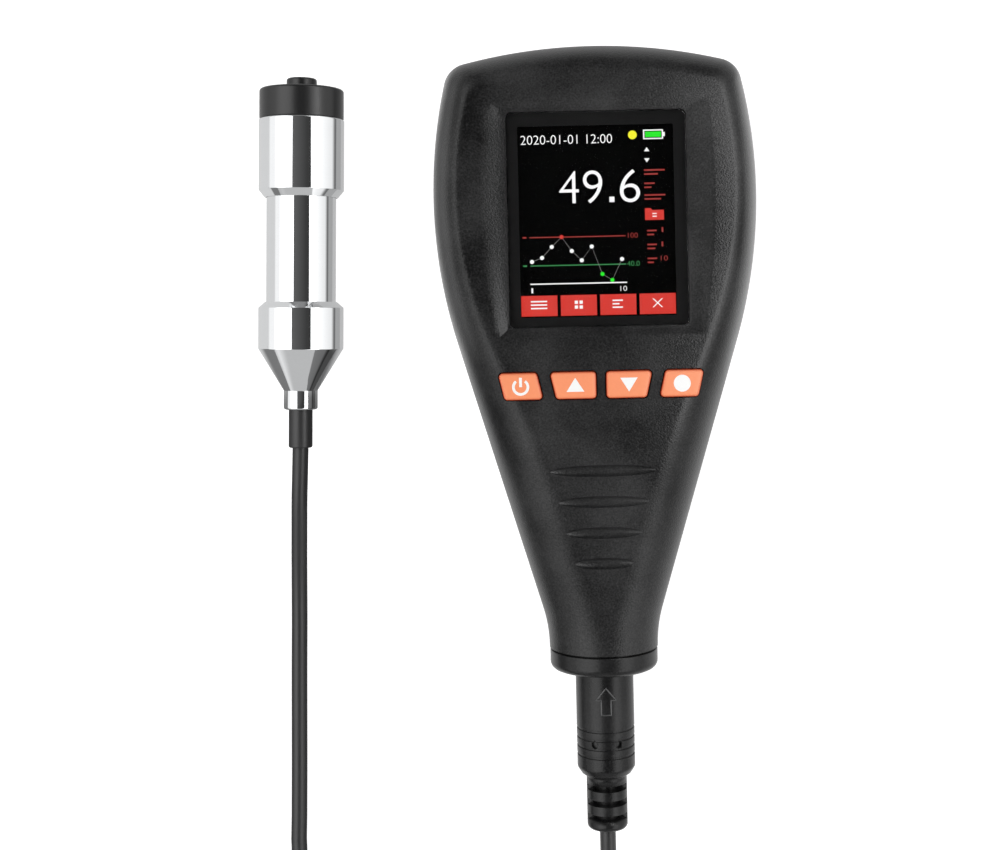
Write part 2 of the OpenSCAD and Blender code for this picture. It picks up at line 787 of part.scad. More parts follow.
// Turned parts on the unit's long axis; local z runs from the seam towards the plug.
module on_axis() translate([0, seam_y, split_z]) rotate([90, 0, 0]) children();
spigot_r = end_r - wall - fit;
socket_r = socket_d / 2;
module spigot_bore() {
    on_axis() {
        translate([0, 0, -spigot_l - fit]) cylinder(r = spigot_r + fit, h = spigot_l + fit + over);
        translate([0, 0, -spigot_l - fit])
            cylinder(r = spigot_r + spigot_lip + fit, h = spigot_lip_l + 2 * fit);
    }
}
module end_collar() {
    bore_r = plug_d / 2 + plug_play;
    r = collar_d / 2;
    lip_z = spigot_lip_l - spigot_l;
    color(soot)
        on_axis()
            rotate_extrude()
                polygon(concat(
                    [
                        [socket_r + fit, -spigot_l], [spigot_r + spigot_lip, -spigot_l],
                        [spigot_r + spigot_lip, lip_z], [spigot_r, lip_z], [spigot_r, 0], [r, 0]
                    ],
                    arc([r - collar_round, collar_l - collar_round], collar_round, 0, 90),
                    [[bore_r, collar_l], [bore_r, 0], [socket_r + fit, 0]]
                ));
}
tube_r = tube_d / 2;
pin_back = 2;
pin_l = tube_l - pin_back;
tube_front = plug_insert - collar_l + tube_l;
module lead_socket() {
    socket_wall = 2;
    core_back = 1;
    cavity = tube_front + over;
    color(soot)
        on_axis()
            difference() {
                translate([0, 0, -socket_l]) cylinder(r = socket_r, h = socket_l);
                difference() {
                    translate([0, 0, -cavity]) cylinder(r = tube_r + fit, h = cavity + over);
                    translate([0, 0, -cavity - over]) cylinder(d = core_d, h = cavity + over - core_back);
                }
                for (i = [0:pin_count - 1])
                    rotate([0, 0, 360 * i / pin_count])
                        translate([pin_ring_d / 2, 0, -cavity - socket_wall / 2])
                            cylinder(d = pin_d + 2 * fit, h = cavity + socket_wall);
            }
}
module socket_ribbon() {
    ribbon_w = 8;
    ribbon_t = 0.6;
    ribbon_lead = 4;
    ribbon_drop = 2;
    y0 = seam_y + socket_l;
    y3 = key_low - board_below_keys + ribbon_w;
    y2 = y3 - ribbon_w - ribbon_drop;
    z1 = board_z - ribbon_t;
    color(board_green)
        translate([-ribbon_w / 2, 0, 0])
            rotate([90, 0, 90])
                linear_extrude(ribbon_w)
                    polygon([
                        [y0, split_z], [y0 + ribbon_lead, split_z], [y2, z1], [y3, z1],
                        [y3, board_z], [y2, board_z],
                        [y0 + ribbon_lead, split_z + ribbon_t], [y0, split_z + ribbon_t]
                    ]);
}

// Battery bay in the rear shell, cells along the unit.
bay_y = body_top - bay_from_top;
bay_w = 2 * cell_d + 3 * cell_play;
bay_l = cell_l + button_l + spring_l + 2 * plate_t;
bay_h = cover_t + cell_d + cell_play;
bay_low = bay_y - bay_l / 2;
bay_top = bay_y + bay_l / 2;
cell_z = cover_t + cell_play / 2 + cell_d / 2;
cell_x = (cell_d + cell_play) / 2;
cover_low = bay_low - cover_tab_l;
cover_top = bay_top + cover_ledge;
cover_w = bay_w + 2 * cover_ledge;
cover_screw_y = bay_low - bay_wall - boss_r(small_screw_d) - fit;
cover_corner = 1.5;
tongue_w = 7;
tongue_l = 1.4;
tongue_x = bay_w / 4;
cover_head_h = small_screw_d * head_height_ratio;
cover_seat = cover_head_h + screw_play;
module cover_plate(grow, z0, z1) {
    translate([0, (cover_low + cover_top) / 2, z0])
        linear_extrude(z1 - z0)
            polygon(rounded(
                box_points(cover_w + 2 * grow, cover_top - cover_low + 2 * grow), cover_corner
            ));
}
module tongues(grow) {
    for (s = [-1, 1])
        translate([s * tongue_x - tongue_w / 2 - grow, cover_top - over, cover_t / 2 - grow])
            cube([tongue_w + 2 * grow, tongue_l + over + grow, cover_t / 2 + grow]);
}
module battery_cover() {
    color(graphite) difference() {
        union() {
            cover_plate(-cover_play, 0, cover_t);
            tongues(-cover_play / 2);
        }
        translate([0, cover_screw_y, -over]) {
            cylinder(r = head_hole_r(small_screw_d), h = over + cover_seat);
            cylinder(r = hole_r(small_screw_d), h = cover_t + 2 * over);
        }
    }
}
module cover_screw()
    translate([0, cover_screw_y, cover_seat]) screw(small_screw_d, small_screw_l);

module rear_shell() {
    rear_boss_up = 1;
    rear_boss_z = wall + rear_boss_up;
    color(graphite) difference() {
        union() {
            bowl(false);
            translate([-bay_w / 2 - bay_wall, bay_low - bay_wall, wall / 2])
                cube([bay_w + 2 * bay_wall, bay_l + 2 * bay_wall, bay_h - wall / 2]);
            at_mirrored(case_screw_at)
                translate([0, 0, rear_boss_z])
                    cylinder(r = head_hole_r(case_screw_d) + boss_wall, h = split_z - rear_boss_z);
            translate([0, cover_screw_y, wall / 2])
                cylinder(r = boss_r(small_screw_d), h = cover_seat + small_screw_l + boss_wall - wall / 2);
        }
        translate([-bay_w / 2, bay_low, -over]) cube([bay_w, bay_l, bay_h + 2 * over]);
        cover_plate(0, -over, cover_t);
        tongues(0);
        at_mirrored(case_screw_at) translate([0, 0, -over]) {
            cylinder(r = head_hole_r(case_screw_d), h = case_screw_seat + over);
            cylinder(r = hole_r(case_screw_d), h = split_z + 2 * over);
        }
        translate([0, cover_screw_y, 0])
            cylinder(r = hole_r(small_screw_d), h = cover_seat + small_screw_l + fit);
        spigot_bore();
    }
}
module front_shell() {
    frame_w = window_w + 2 * frame_wall;
    frame_h = window_h + 2 * frame_wall;
    color(graphite) difference() {
        union() {
            bowl(true);
            translate([-frame_w / 2, window_y - frame_h / 2, ledge_z])
                cube([frame_w, frame_h, inner_face_z + wall / 3 - ledge_z]);
            front_bosses();
        }
        recess_cut();
        window_plate(window_play, pane_z, head_t);
        view_opening();
        both_sides()
            for (k = [inner_key(), outer_key()])
                union() {
                    key_prism(k, key_play, inner_face_z - over, head_t + over);
                    key_prism(
                        k, key_flange + key_play, flange_low - key_travel - over, flange_top + screw_play
                    );
                }
        grip_grooves();
        front_screw_holes();
        spigot_bore();
    }
}
module display_window() color(glass_black) window_plate(0, pane_z, window_t);
module display_module() {
    color(soot)
        translate([-lcd_w / 2, window_y - view_h / 2 - lcd_chin, ledge_z - lcd_t]) cube([lcd_w, lcd_l, lcd_t]);
}
module main_board() {
    low = key_low - board_below_keys;
    color(board_green) difference() {
        translate([0, 0, board_z])
            linear_extrude(board_t)
                intersection() {
                    polygon([for (p = outline) drawn_in(p, board_inset)]);
                    translate([-body_w, low]) square([2 * body_w, body_l]);
                }
        at_mirrored(case_screw_at)
            translate([0, 0, board_z - over]) cylinder(r = boss_r(case_screw_d) + over, h = board_t + 2 * over);
        at_mirrored(board_screw_at)
            translate([0, 0, board_z - over]) cylinder(r = hole_r(small_screw_d), h = board_t + 2 * over);
    }
}
module beeper() {
    vent_d = 1.6;
    vent_depth = 1;
    beeper_side = 6;
    beeper_up = 0.6;
    x = beeper_d / 2 + beeper_side;
    y = key_low - board_below_keys + beeper_d / 2 + beeper_up;
    color(soot) translate([x, y, board_z - beeper_h]) difference() {
        cylinder(d = beeper_d, h = beeper_h);
        translate([0, 0, -over]) cylinder(d = vent_d, h = over + vent_depth);
    }
}
module along_y(x, y, turn) translate([x, y, cell_z]) rotate([turn, 0, 0]) children();
// Left cell: button up the unit. Right cell: button down.
cell_place = [[-cell_x, bay_low, -90], [cell_x, bay_top, 90]];
spring_wire_d = 0.8;
spring_turns = 3;
wire_sides = 6;
module battery_cells()
    for (c = cell_place)
        color(cell_grey)
            along_y(c[0], c[1], c[2])
                translate([0, 0, plate_t + spring_l]) {
                    cylinder(d = cell_d, h = cell_l);
                    cylinder(d = button_d, h = cell_l + button_l);
                }
module battery_springs()
    for (c = cell_place)
        color(steel)
            along_y(c[0], c[1], c[2])
                translate([0, 0, plate_t + spring_wire_d / 2])
                    swept_tube(
                        helix(cell_d / 3, cell_d / 5, spring_l - spring_wire_d, spring_turns),
                        spring_wire_d / 2, wire_sides
                    );
module battery_plates() {
    plate_side = 1.5;
    plate_end = 2;
    plate_w = cell_d - 2 * plate_side;
    plate_h = cell_d - 2 * plate_end;
    color(steel)
        for (x = [-cell_x, cell_x])
            for (y = [bay_low, bay_top - plate_t])
                translate([x - plate_w / 2, y, cell_z - plate_h / 2]) cube([plate_w, plate_t, plate_h]);
}

// Plug: overmould with strain relief, metal tube and pins.
plug_r = plug_d / 2;
relief_r = relief_d / 2;
plug_start = collar_l - plug_insert;
shoulder_start = collar_l + plug_l;
relief_start = shoulder_start + shoulder_l;
plug_end = relief_start + relief_l;
plug_edge = 0.6;
slot_floor_wall = 0.6;
slot_floor_r = cable_d / 2 + slot_floor_wall;
slot_angle = 150;
dimple_angle = 25;
dimple_depth = 0.8;
relief_round = 1;
ring_from_shoulder = 2.6;
slot_from_shoulder = 1.6;
slot_margin = 2;
module plug_body() {
    ring_start = shoulder_start - ring_from_shoulder - (ring_count - 1) * ring_pitch;
    slot_pitch = (relief_l - slot_margin) / relief_slots;
    color(soot)
        on_axis()
            difference() {
                rotate_extrude()
                    polygon(concat(
                        [[0, plug_start]],
                        arc([plug_r - plug_edge, plug_start + plug_edge], plug_edge, -90, 0),
                        arc([plug_r - shoulder_l, shoulder_start], shoulder_l, 0, 45),
                        [[relief_r, relief_start]],
                        arc([relief_r - relief_round, plug_end - relief_round], relief_round, 0, 90),
                        [[0, plug_end]]
                    ));
                for (i = [0:ring_count - 1])
                    translate([0, 0, ring_start + i * ring_pitch])
                        rotate_extrude() translate([plug_r - ring_d, 0]) square([ring_d + over, ring_w]);
                for (a = [-dimple_angle, dimple_angle])
                    rotate([0, 0, 90 + a])
                        translate([plug_r - dimple_depth, 0, ring_start + (ring_count - 1) / 2 * ring_pitch])
                            rotate([0, 90, 0]) cylinder(d = dimple_d, h = dimple_depth + over);
                for (i = [0:relief_slots - 1])
                    for (side = [0, 180])
                        translate([0, 0, relief_start + slot_from_shoulder + i * slot_pitch])
                            rotate([0, 0, side + 90 - slot_angle / 2])
                                rotate_extrude(angle = slot_angle)
                                    translate([slot_floor_r, 0]) square([relief_r, slot_w]);
            }
}
module plug_tube() {
    color(steel)
        on_axis()
            translate([0, 0, plug_start - tube_l])
                difference() {
                    cylinder(r = tube_r, h = tube_l);
                    translate([0, 0, -over]) cylinder(r = tube_r - tube_wall, h = tube_l + 2 * over);
                }
}
module plug_pins() {
    color(brass)
        on_axis()
            for (i = [0:pin_count - 1])
                rotate([0, 0, 360 * i / pin_count])
                    translate([pin_ring_d / 2, 0, plug_start - pin_l]) cylinder(d = pin_d, h = pin_l);
}

// Probe: turned parts on one axis; local z runs from the nose to the cable.
probe_r = probe_d / 2;
nose_r = nose_d / 2;
barrel_r = barrel_d / 2;
tip_r = tip_d / 2;
ferrule_r = ferrule_d / 2;
sleeve_r = sleeve_d / 2;
run_fit = 0.08;
spigot_step = 0.3;
nose_spigot_r = barrel_r + spigot_step;
carriage_r = 5.2;
nose_wall = 2.5;
flange_t = 1.5;
cheek_t = 0.8;
winding_start = nose_wall + flange_t;
spring_start = winding_start + winding_l + cheek_t;
spring_room = 7.5;
bush_start = spring_start + spring_room;
barrel_start = bush_start + bush_t;
front_end = nose_l + front_l;
tail_start = front_end + front_bevel + barrel_l;
tail_overlap = 6;
barrel_end = tail_start + tail_overlap;
rear_start = tail_start + rear_bevel;
cone_start = rear_start + rear_l;
ferrule_start = cone_start + cone_l;
ferrule_end = ferrule_start + ferrule_l;
sleeve_seat = 2;
sleeve_start = ferrule_start - sleeve_seat;
sleeve_end = ferrule_end + sleeve_l;
rod_r = 1.8;
rod_past_bush = 3;
rod_end = barrel_start + rod_past_bush;
spring_r = 3;
module on_probe()
    translate([-probe_x, probe_y, probe_r]) rotate([0, 0, -probe_turn]) rotate([90, 0, 0]) children();
module turned(points) on_probe() rotate_extrude() polygon(points);

module probe_nose()
    color(soot)
        turned(concat(
            [[tip_r + run_fit, 0]],
            arc([nose_r - nose_round, nose_round], nose_round, -90, 0),
            [
                [nose_r, nose_l], [nose_spigot_r, nose_l], [nose_spigot_r, bush_start],
                [carriage_r + run_fit, bush_start], [carriage_r + run_fit, nose_wall],
                [tip_r + run_fit, nose_wall]
            ]
        ));
module probe_front_collar() {
    lip_r = barrel_r + spigot_step;
    edge = 0.4;
    color(chrome)
        turned([
            [nose_spigot_r + fit, nose_l], [probe_r - edge, nose_l], [probe_r, nose_l + edge],
            [probe_r, front_end], [lip_r + fit, front_end + front_bevel],
            [barrel_r + fit, front_end + front_bevel],
            [barrel_r + fit, barrel_start], [nose_spigot_r + fit, barrel_start]
        ]);
}
module probe_barrel()
    color(chrome)
        turned([
            [barrel_r - barrel_wall, barrel_start], [barrel_r, barrel_start], [barrel_r, barrel_end],
            [barrel_r - barrel_wall, barrel_end]
        ]);
module probe_tail() {
    edge = 1;
    seat_step = 1;
    funnel_front = 1;
    funnel_back = 2;
    cable_room = barrel_r - barrel_wall;
    color(chrome)
        turned(concat(
            [
                [barrel_r + fit, tail_start], [barrel_r + 2 * fit, tail_start], [probe_r, rear_start],
                [probe_r, cone_start], [ferrule_r, ferrule_start]
            ],
            arc([ferrule_r - edge, ferrule_end - edge], edge, 0, 90),
            [
                [sleeve_r + fit, ferrule_end], [sleeve_r + fit, sleeve_start],
                [sleeve_r - seat_step, sleeve_start], [sleeve_r - seat_step, cone_start + funnel_back],
                [cable_room, cone_start - funnel_front], [cable_room, barrel_end],
                [barrel_r + fit, barrel_end]
            ]
        ));
}
module cable_sleeve() {
    edge = 0.5;
    color(soot)
        turned(concat(
            [[0, sleeve_start], [sleeve_r, sleeve_start]],
            arc([sleeve_r - edge, sleeve_end - edge], edge, 0, 90),
            [[0, sleeve_end]]
        ));
}
module guide_bush()
    color(brass)
        turned([
            [rod_r + run_fit, bush_start], [nose_spigot_r, bush_start], [nose_spigot_r, barrel_start],
            [rod_r + run_fit, barrel_start]
        ]);
module measuring_tip() {
    core_r = iron_d / 2;
    edge = 0.6;
    color(soot)
        turned(concat(
            [[core_r, -tip_proud]],
            arc([tip_r - edge, edge - tip_proud], edge, -90, 0),
            [
                [tip_r, nose_wall + fit], [carriage_r, nose_wall + fit], [carriage_r, winding_start],
                [rod_r, winding_start], [rod_r, winding_start + winding_l],
                [winding_d / 2, winding_start + winding_l], [winding_d / 2, spring_start],
                [rod_r, spring_start], [rod_r, rod_end], [core_r, rod_end]
            ]
        ));
}
module sensor_core()
    color(steel)
        turned([[0, -tip_proud], [iron_d / 2, -tip_proud], [iron_d / 2, rod_end], [0, rod_end]]);
module sensor_winding()
    color(copper)
        turned([
            [rod_r, winding_start], [winding_d / 2, winding_start],
            [winding_d / 2, winding_start + winding_l], [rod_r, winding_start + winding_l]
        ]);
module tip_spring() {
    turns = 4;
    color(steel)
        on_probe()
            translate([0, 0, spring_start + tip_wire_d / 2])
                swept_tube(
                    helix(spring_r, spring_r, bush_start - spring_start - tip_wire_d, turns),
                    tip_wire_d / 2, wire_sides
                );
}

// Lead: from the plug down to the table, round the coil and back to the probe.
coil_c = [-36, -143];
coil_band = (coil_wide + 1) * cable_d;
coil_in = coil_d / 2 - coil_band / 2;
coil_out = coil_d / 2 + coil_band / 2;
coil_base = tie_t + fit;
coil_h = coil_layers * cable_d;
tie_gap = 0.5;
near_points = [
    [0, -106, 12], [0, -110, 11.6], [-0.4, -114, 10.6], [-1.4, -118, 9], [-3, -122.5, 7],
    [-5, -127.5, 5.2], [-7.2, -132.5, 3.8], [-9, -137.5, 3]
];
far_points = [
    [-62.7, -136, 5.8], [-63.6, -131, 5], [-65.2, -126, 3.8], [-67, -121, 2.7], [-68.4, -116, 2.1],
    [-69.2, -110, 1.8],
    [-69.05, -102, 1.8], [-68.8, -92, 1.8], [-68.55, -80, 1.8], [-68.3, -68, 1.8], [-68, -58, 2.1],
    [-67.7, -50, 3.1], [-67.3, -43, 4.8], [-66.8, -36, 6.9], [-66.4, -30, 8.5], [-66.05, -24.5, 9.2]
];
cable_sides = 8;
function probe_point(s) = [-probe_x - s * sin(probe_turn), probe_y - s * cos(probe_turn), probe_r];
module lead_near()
    color(rubber) swept_tube(concat([[0, seam_y - plug_end, split_z]], near_points), cable_d / 2, cable_sides);
module lead_far()
    color(rubber) swept_tube(concat(far_points, [probe_point(sleeve_end)]), cable_d / 2, cable_sides);
module lead_coil()
    color(rubber)
        translate([coil_c.x, coil_c.y, coil_base])
            rotate_extrude() translate([coil_in, 0]) square([coil_out - coil_in, coil_h]);
module coil_tie() {
    inner_w = coil_out - coil_in + 2 * tie_gap;
    color(soot)
        translate([coil_c.x - tie_w / 2, coil_c.y - coil_out - tie_gap - tie_t, 0])
            difference() {
                cube([tie_w, inner_w + 2 * tie_t, coil_base + coil_h + fit + tie_t]);
                translate([-over, tie_t, tie_t]) cube([tie_w + 2 * over, inner_w, coil_h + 2 * fit]);
            }
}

front_shell();
rear_shell();
end_collar();
display_window();
display_module();
main_board();
keypad_mat();
key_power();
key_up();
key_down();
key_record();
contact_domes();
beeper();
battery_cover();
cover_screw();
case_screws();
board_screws();
battery_cells();
battery_springs();
battery_plates();
lead_socket();
socket_ribbon();
plug_body();
plug_tube();
plug_pins();
lead_near();
lead_coil();
coil_tie();
lead_far();
cable_sleeve();
probe_tail();
probe_barrel();
probe_front_collar();
probe_nose();
guide_bush();
tip_spring();
measuring_tip();
sensor_core();
sensor_winding();
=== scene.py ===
# %% [markdown]
# # Coating thickness gauge
# A handheld gauge lies on its back on a pale table, with its wired probe beside it.
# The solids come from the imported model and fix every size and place.
# This lesson dresses them: finer turned metal, rubber keys, a lit display, a real cable and finishes.

# %% Load the frame
import bmesh
import bpy
import math
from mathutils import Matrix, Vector


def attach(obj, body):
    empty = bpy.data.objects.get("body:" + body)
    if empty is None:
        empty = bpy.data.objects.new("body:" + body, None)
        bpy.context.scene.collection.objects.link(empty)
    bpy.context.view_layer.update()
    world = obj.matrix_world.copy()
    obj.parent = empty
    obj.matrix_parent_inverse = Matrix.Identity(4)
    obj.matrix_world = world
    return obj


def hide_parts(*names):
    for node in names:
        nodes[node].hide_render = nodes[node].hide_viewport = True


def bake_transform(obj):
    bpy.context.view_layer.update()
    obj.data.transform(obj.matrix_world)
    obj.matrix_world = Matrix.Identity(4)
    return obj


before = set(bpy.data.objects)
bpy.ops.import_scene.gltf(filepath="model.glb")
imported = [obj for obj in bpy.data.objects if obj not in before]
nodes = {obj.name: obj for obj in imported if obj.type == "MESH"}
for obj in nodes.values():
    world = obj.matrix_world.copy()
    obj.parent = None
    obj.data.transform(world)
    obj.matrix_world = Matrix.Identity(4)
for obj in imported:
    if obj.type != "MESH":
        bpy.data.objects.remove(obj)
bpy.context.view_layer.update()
mm = 0.001


def linked(name, data):
    thing = bpy.data.objects.new(name, data)
    bpy.context.scene.collection.objects.link(thing)
    return thing


# %% [markdown]
# ## Camera
# The photograph looks straight down from about a third of a metre, a little right of the probe.
# A shifted lens keeps the camera level, so the unit's sides don't converge more than they do there.
# The whole picture is turned by a bit over a degree, which is a roll of the camera.

# %% Camera
camera_place, camera_roll = (-12.35, 10.65, 340), -1.25
camera_data = bpy.data.cameras.new("table_camera")
camera_data.sensor_width = 36
camera_data.lens = 54
camera_data.shift_x = -0.04
camera_data.shift_y = -0.115
camera_data.clip_start = 0.01
camera = linked("table_camera", camera_data)
camera.location = [c * mm for c in camera_place]
camera.rotation_euler = (0, 0, math.radians(camera_roll))
bpy.context.scene.camera = camera
print("camera height in mm:", camera_place[2])

# %% [markdown]
# ## Shared finishes
# Moulded plastic, rubber and metal all have a fine grain and slow clouds of change.
# Both could be painted, but noise in Object coordinates fits every side and every scale.
# One shader group gives the two masks, and each finish places it with its own sizes.
# Small helpers come first. They make a group, join two values, move a value to another range, mix two
# colours and start a material.

# %% Shader helpers
def new_group(name, inputs, outputs, kind="ShaderNodeTree"):
    group = bpy.data.node_groups.new(name, kind)
    for label, socket_type, value in inputs:
        socket = group.interface.new_socket(label, in_out="INPUT", socket_type=socket_type)
        if value is not None:
            socket.default_value = value
    for label, socket_type in outputs:
        group.interface.new_socket(label, in_out="OUTPUT", socket_type=socket_type)
    return group, group.nodes.new("NodeGroupInput"), group.nodes.new("NodeGroupOutput")


def math_node(tree, operation, a, b):
    node = tree.nodes.new("ShaderNodeMath")
    node.operation = operation
    for slot, value in ((0, a), (1, b)):
        if isinstance(value, (int, float)):
            node.inputs[slot].default_value = value
        else:
            tree.links.new(value, node.inputs[slot])
    return node.outputs[0]


def ranged(tree, value, low, high, at_low=0.0, at_high=1.0, shape="SMOOTHSTEP"):
    node = tree.nodes.new("ShaderNodeMapRange")
    node.interpolation_type = shape
    for slot, amount in (("From Min", low), ("From Max", high), ("To Min", at_low), ("To Max", at_high)):
        node.inputs[slot].default_value = amount
    tree.links.new(value, node.inputs["Value"])
    return node.outputs["Result"]


def color_mix(tree, factor, a, b, blend_type="MIX"):
    node = tree.nodes.new("ShaderNodeMix")
    node.data_type = "RGBA"
    node.blend_type = blend_type
    tree.links.new(factor, node.inputs["Factor"])
    for slot, value in (("A", a), ("B", b)):
        if isinstance(value, tuple):
            node.inputs[slot].default_value = (*value, 1)
        else:
            tree.links.new(value, node.inputs[slot])
    return node.outputs["Result"]


def new_material(name):
    material = bpy.data.materials.new(name)
    material.use_nodes = True
    tree = material.node_tree
    return material, tree, tree.nodes.new("ShaderNodeTexCoord").outputs["Object"]


print("shader helpers ready")

# %% Grain group
pit_share, speckle_share = 0.5, 0.6
grain_group, g_in, g_out = new_group(
    "moulded_grain",
    [("Vector", "NodeSocketVector", None), ("Grain Scale", "NodeSocketFloat", 2400.0),
     ("Cloud Scale", "NodeSocketFloat", 60.0)],
    [("Grain", "NodeSocketFloat"), ("Clouds", "NodeSocketFloat")],
)
pits = grain_group.nodes.new("ShaderNodeTexVoronoi")
pits.feature = "SMOOTH_F1"
speckle = grain_group.nodes.new("ShaderNodeTexNoise")
speckle.inputs["Detail"].default_value = 3
clouds = grain_group.nodes.new("ShaderNodeTexNoise")
clouds.inputs["Detail"].default_value = 4
for texture, scale in ((pits, "Grain Scale"), (speckle, "Grain Scale"), (clouds, "Cloud Scale")):
    grain_group.links.new(g_in.outputs["Vector"], texture.inputs["Vector"])
    grain_group.links.new(g_in.outputs[scale], texture.inputs["Scale"])
pit_part = math_node(grain_group, "MULTIPLY", pits.outputs["Distance"], pit_share)
speckle_part = math_node(grain_group, "MULTIPLY", speckle.outputs["Fac"], speckle_share)
grain_group.links.new(math_node(grain_group, "ADD", pit_part, speckle_part), g_out.inputs["Grain"])
grain_group.links.new(clouds.outputs["Fac"], g_out.inputs["Clouds"])
print("shader group:", grain_group.name)

# %% [markdown]
# ## One recipe for solid finishes
# Each finish is a Principled shader whose colour, roughness and relief follow the grain group.
# What is the same all over, such as Metallic, stays on the shader's own socket.

# %% Finish recipe
cloud_share, grain_share, cloud_range = 0.6, 0.5, (0.3, 0.7)


def finish(name, dark, light, rough, grain=2400.0, cloud=60.0, relief=0.02, stretch=(1, 1, 1),
           contrast=(0.0, 1.0), **sockets):
    material, tree, coords = new_material(name)
    shader = tree.nodes["Principled BSDF"]
    mapping = tree.nodes.new("ShaderNodeMapping")
    mapping.inputs["Scale"].default_value = stretch
    group = tree.nodes.new("ShaderNodeGroup")
    group.node_tree = grain_group
    group.inputs["Grain Scale"].default_value = grain
    group.inputs["Cloud Scale"].default_value = cloud
    tree.links.new(coords, mapping.inputs["Vector"])
    tree.links.new(mapping.outputs["Vector"], group.inputs["Vector"])
    blend = math_node(tree, "ADD", math_node(tree, "MULTIPLY", group.outputs["Clouds"], cloud_share),
                      math_node(tree, "MULTIPLY", group.outputs["Grain"], grain_share))
    color = color_mix(tree, ranged(tree, blend, *contrast, shape="LINEAR"), dark, light)
    tree.links.new(color, shader.inputs["Base Color"])
    dull = ranged(tree, group.outputs["Clouds"], *cloud_range, *rough, shape="LINEAR")
    tree.links.new(dull, shader.inputs["Roughness"])
    bump = tree.nodes.new("ShaderNodeBump")
    bump.inputs["Strength"].default_value = 1
    bump.inputs["Distance"].default_value = relief * mm
    tree.links.new(group.outputs["Grain"], bump.inputs["Height"])
    tree.links.new(bump.outputs["Normal"], shader.inputs["Normal"])
    for socket, value in sockets.items():
        shader.inputs[socket.replace("_", " ")].default_value = value
    return material


print("recipe ready")

# %% [markdown]
# The blacks differ in how much of the table they mirror. The shells have a fine eroded texture that shows as
# pale specks, so their two colours lie far apart. The collar and the plug are smoother.

# %% Plastics and rubber
shell_plastic = finish("shell_plastic", (0.003, 0.003, 0.0032), (0.036, 0.036, 0.0364), (0.29, 0.36),
                       grain=3000, relief=0.07, contrast=(0.44, 0.72), Specular_IOR_Level=0.3)
cover_plastic = finish("cover_plastic", (0.003, 0.003, 0.0032), (0.034, 0.034, 0.0344), (0.31, 0.38),
                       grain=3000, relief=0.07, contrast=(0.44, 0.72), Specular_IOR_Level=0.3)
soft_black = finish("soft_black", (0.005, 0.005, 0.0052), (0.019, 0.019, 0.0194), (0.26, 0.32),
                    grain=2500, relief=0.03, contrast=(0.42, 0.72), Specular_IOR_Level=0.3)
# The arrow's ridge is a lighter grey than the plug's black: a painted highlight on its raised lines.
ridge_black = finish("ridge_black", (0.05, 0.05, 0.051), (0.07, 0.07, 0.071), (0.26, 0.32), relief=0.004)
nose_black = finish("nose_black", (0.007, 0.007, 0.0072), (0.011, 0.011, 0.0113), (0.27, 0.34),
                    relief=0.008)
key_rubber = finish("key_rubber", (0.9, 0.275, 0.115), (0.99, 0.315, 0.14), (0.5, 0.6),
                    grain=1800, relief=0.012)
cable_jacket = finish("cable_jacket", (0.016, 0.016, 0.0165), (0.026, 0.026, 0.0266), (0.33, 0.42),
                      relief=0.008)
tie_rubber = finish("tie_rubber", (0.012, 0.012, 0.012), (0.02, 0.02, 0.02), (0.55, 0.65), relief=0.01)
mat_rubber = finish("mat_rubber", (0.06, 0.06, 0.064), (0.09, 0.09, 0.095), (0.55, 0.65), relief=0.01)
print("plastics and rubber:", len(bpy.data.materials))

# %% [markdown]
# The probe is bright nickel or chrome plating, a mirror with a slight haze. Steel, brass and copper are
# duller. Stretched grain stands for the fine lines that turning leaves round the axis.

# %% Metals
plating = finish("plating", (0.80, 0.81, 0.82), (0.86, 0.87, 0.88), (0.035, 0.07), grain=900, cloud=40,
                 relief=0.0006, stretch=(1, 8, 1), Metallic=1.0)
turned_steel = finish("turned_steel", (0.52, 0.53, 0.54), (0.62, 0.63, 0.64), (0.22, 0.32), grain=1500,
                      relief=0.004, stretch=(1, 6, 1), Metallic=1.0)
screw_steel = finish("screw_steel", (0.42, 0.43, 0.44), (0.55, 0.56, 0.57), (0.28, 0.4),
                     relief=0.004, Metallic=1.0)
contact_brass = finish("contact_brass", (0.66, 0.49, 0.2), (0.76, 0.6, 0.29), (0.2, 0.32),
                       relief=0.003, Metallic=1.0)
copper_wire = finish("copper_wire", (0.5, 0.2, 0.09), (0.62, 0.3, 0.14), (0.3, 0.4), grain=3000,
                     relief=0.01, Metallic=1.0)
print("with the metals:", len(bpy.data.materials))

# %% [markdown]
# Board, cells, prints and the pane are left. The panel behind the pane is nearly black when it is off,
# and the pane has a low index, as a coated one that mirrors little.

# %% Board, prints and pane
solder_mask = finish("solder_mask", (0.012, 0.1, 0.045), (0.02, 0.15, 0.07), (0.3, 0.42), relief=0.006)
cell_wrap = finish("cell_wrap", (0.14, 0.15, 0.17), (0.2, 0.21, 0.24), (0.28, 0.38), relief=0.003)
dark_panel = finish("dark_panel", (0.0006, 0.0006, 0.0007), (0.001, 0.001, 0.0011), (0.12, 0.18),
                    relief=0.0, Specular_IOR_Level=0.12)
mask_print = finish("mask_print", (0.0075, 0.0075, 0.0077), (0.009, 0.009, 0.0092), (0.45, 0.55),
                    relief=0.002, Specular_IOR_Level=0.1)
key_print = finish("key_print", (0.9, 0.9, 0.89), (0.96, 0.96, 0.95), (0.5, 0.6), relief=0.004)
window_glass = finish("window_glass", (0.97, 0.97, 0.97), (1, 1, 1), (0.012, 0.03), relief=0.0,
                      Transmission_Weight=1.0, IOR=1.15)
print("finishes made:", len(bpy.data.materials))

# %% [markdown]
# The keys are translucent rubber with pale tops. Their sides are painted a deep red: painted shade for sides
# turned away from the light, and painted light for light that leaves the rubber after a long way inside.
# The colour therefore changes with the height on the key.

# %% Painted shade on the sides of the keys
# Colour and heights of the painted shade on the key sides
side_shade_red, shade_low_z, shade_high_z = (0.62, 0.055, 0.01), 29.76, 30.1


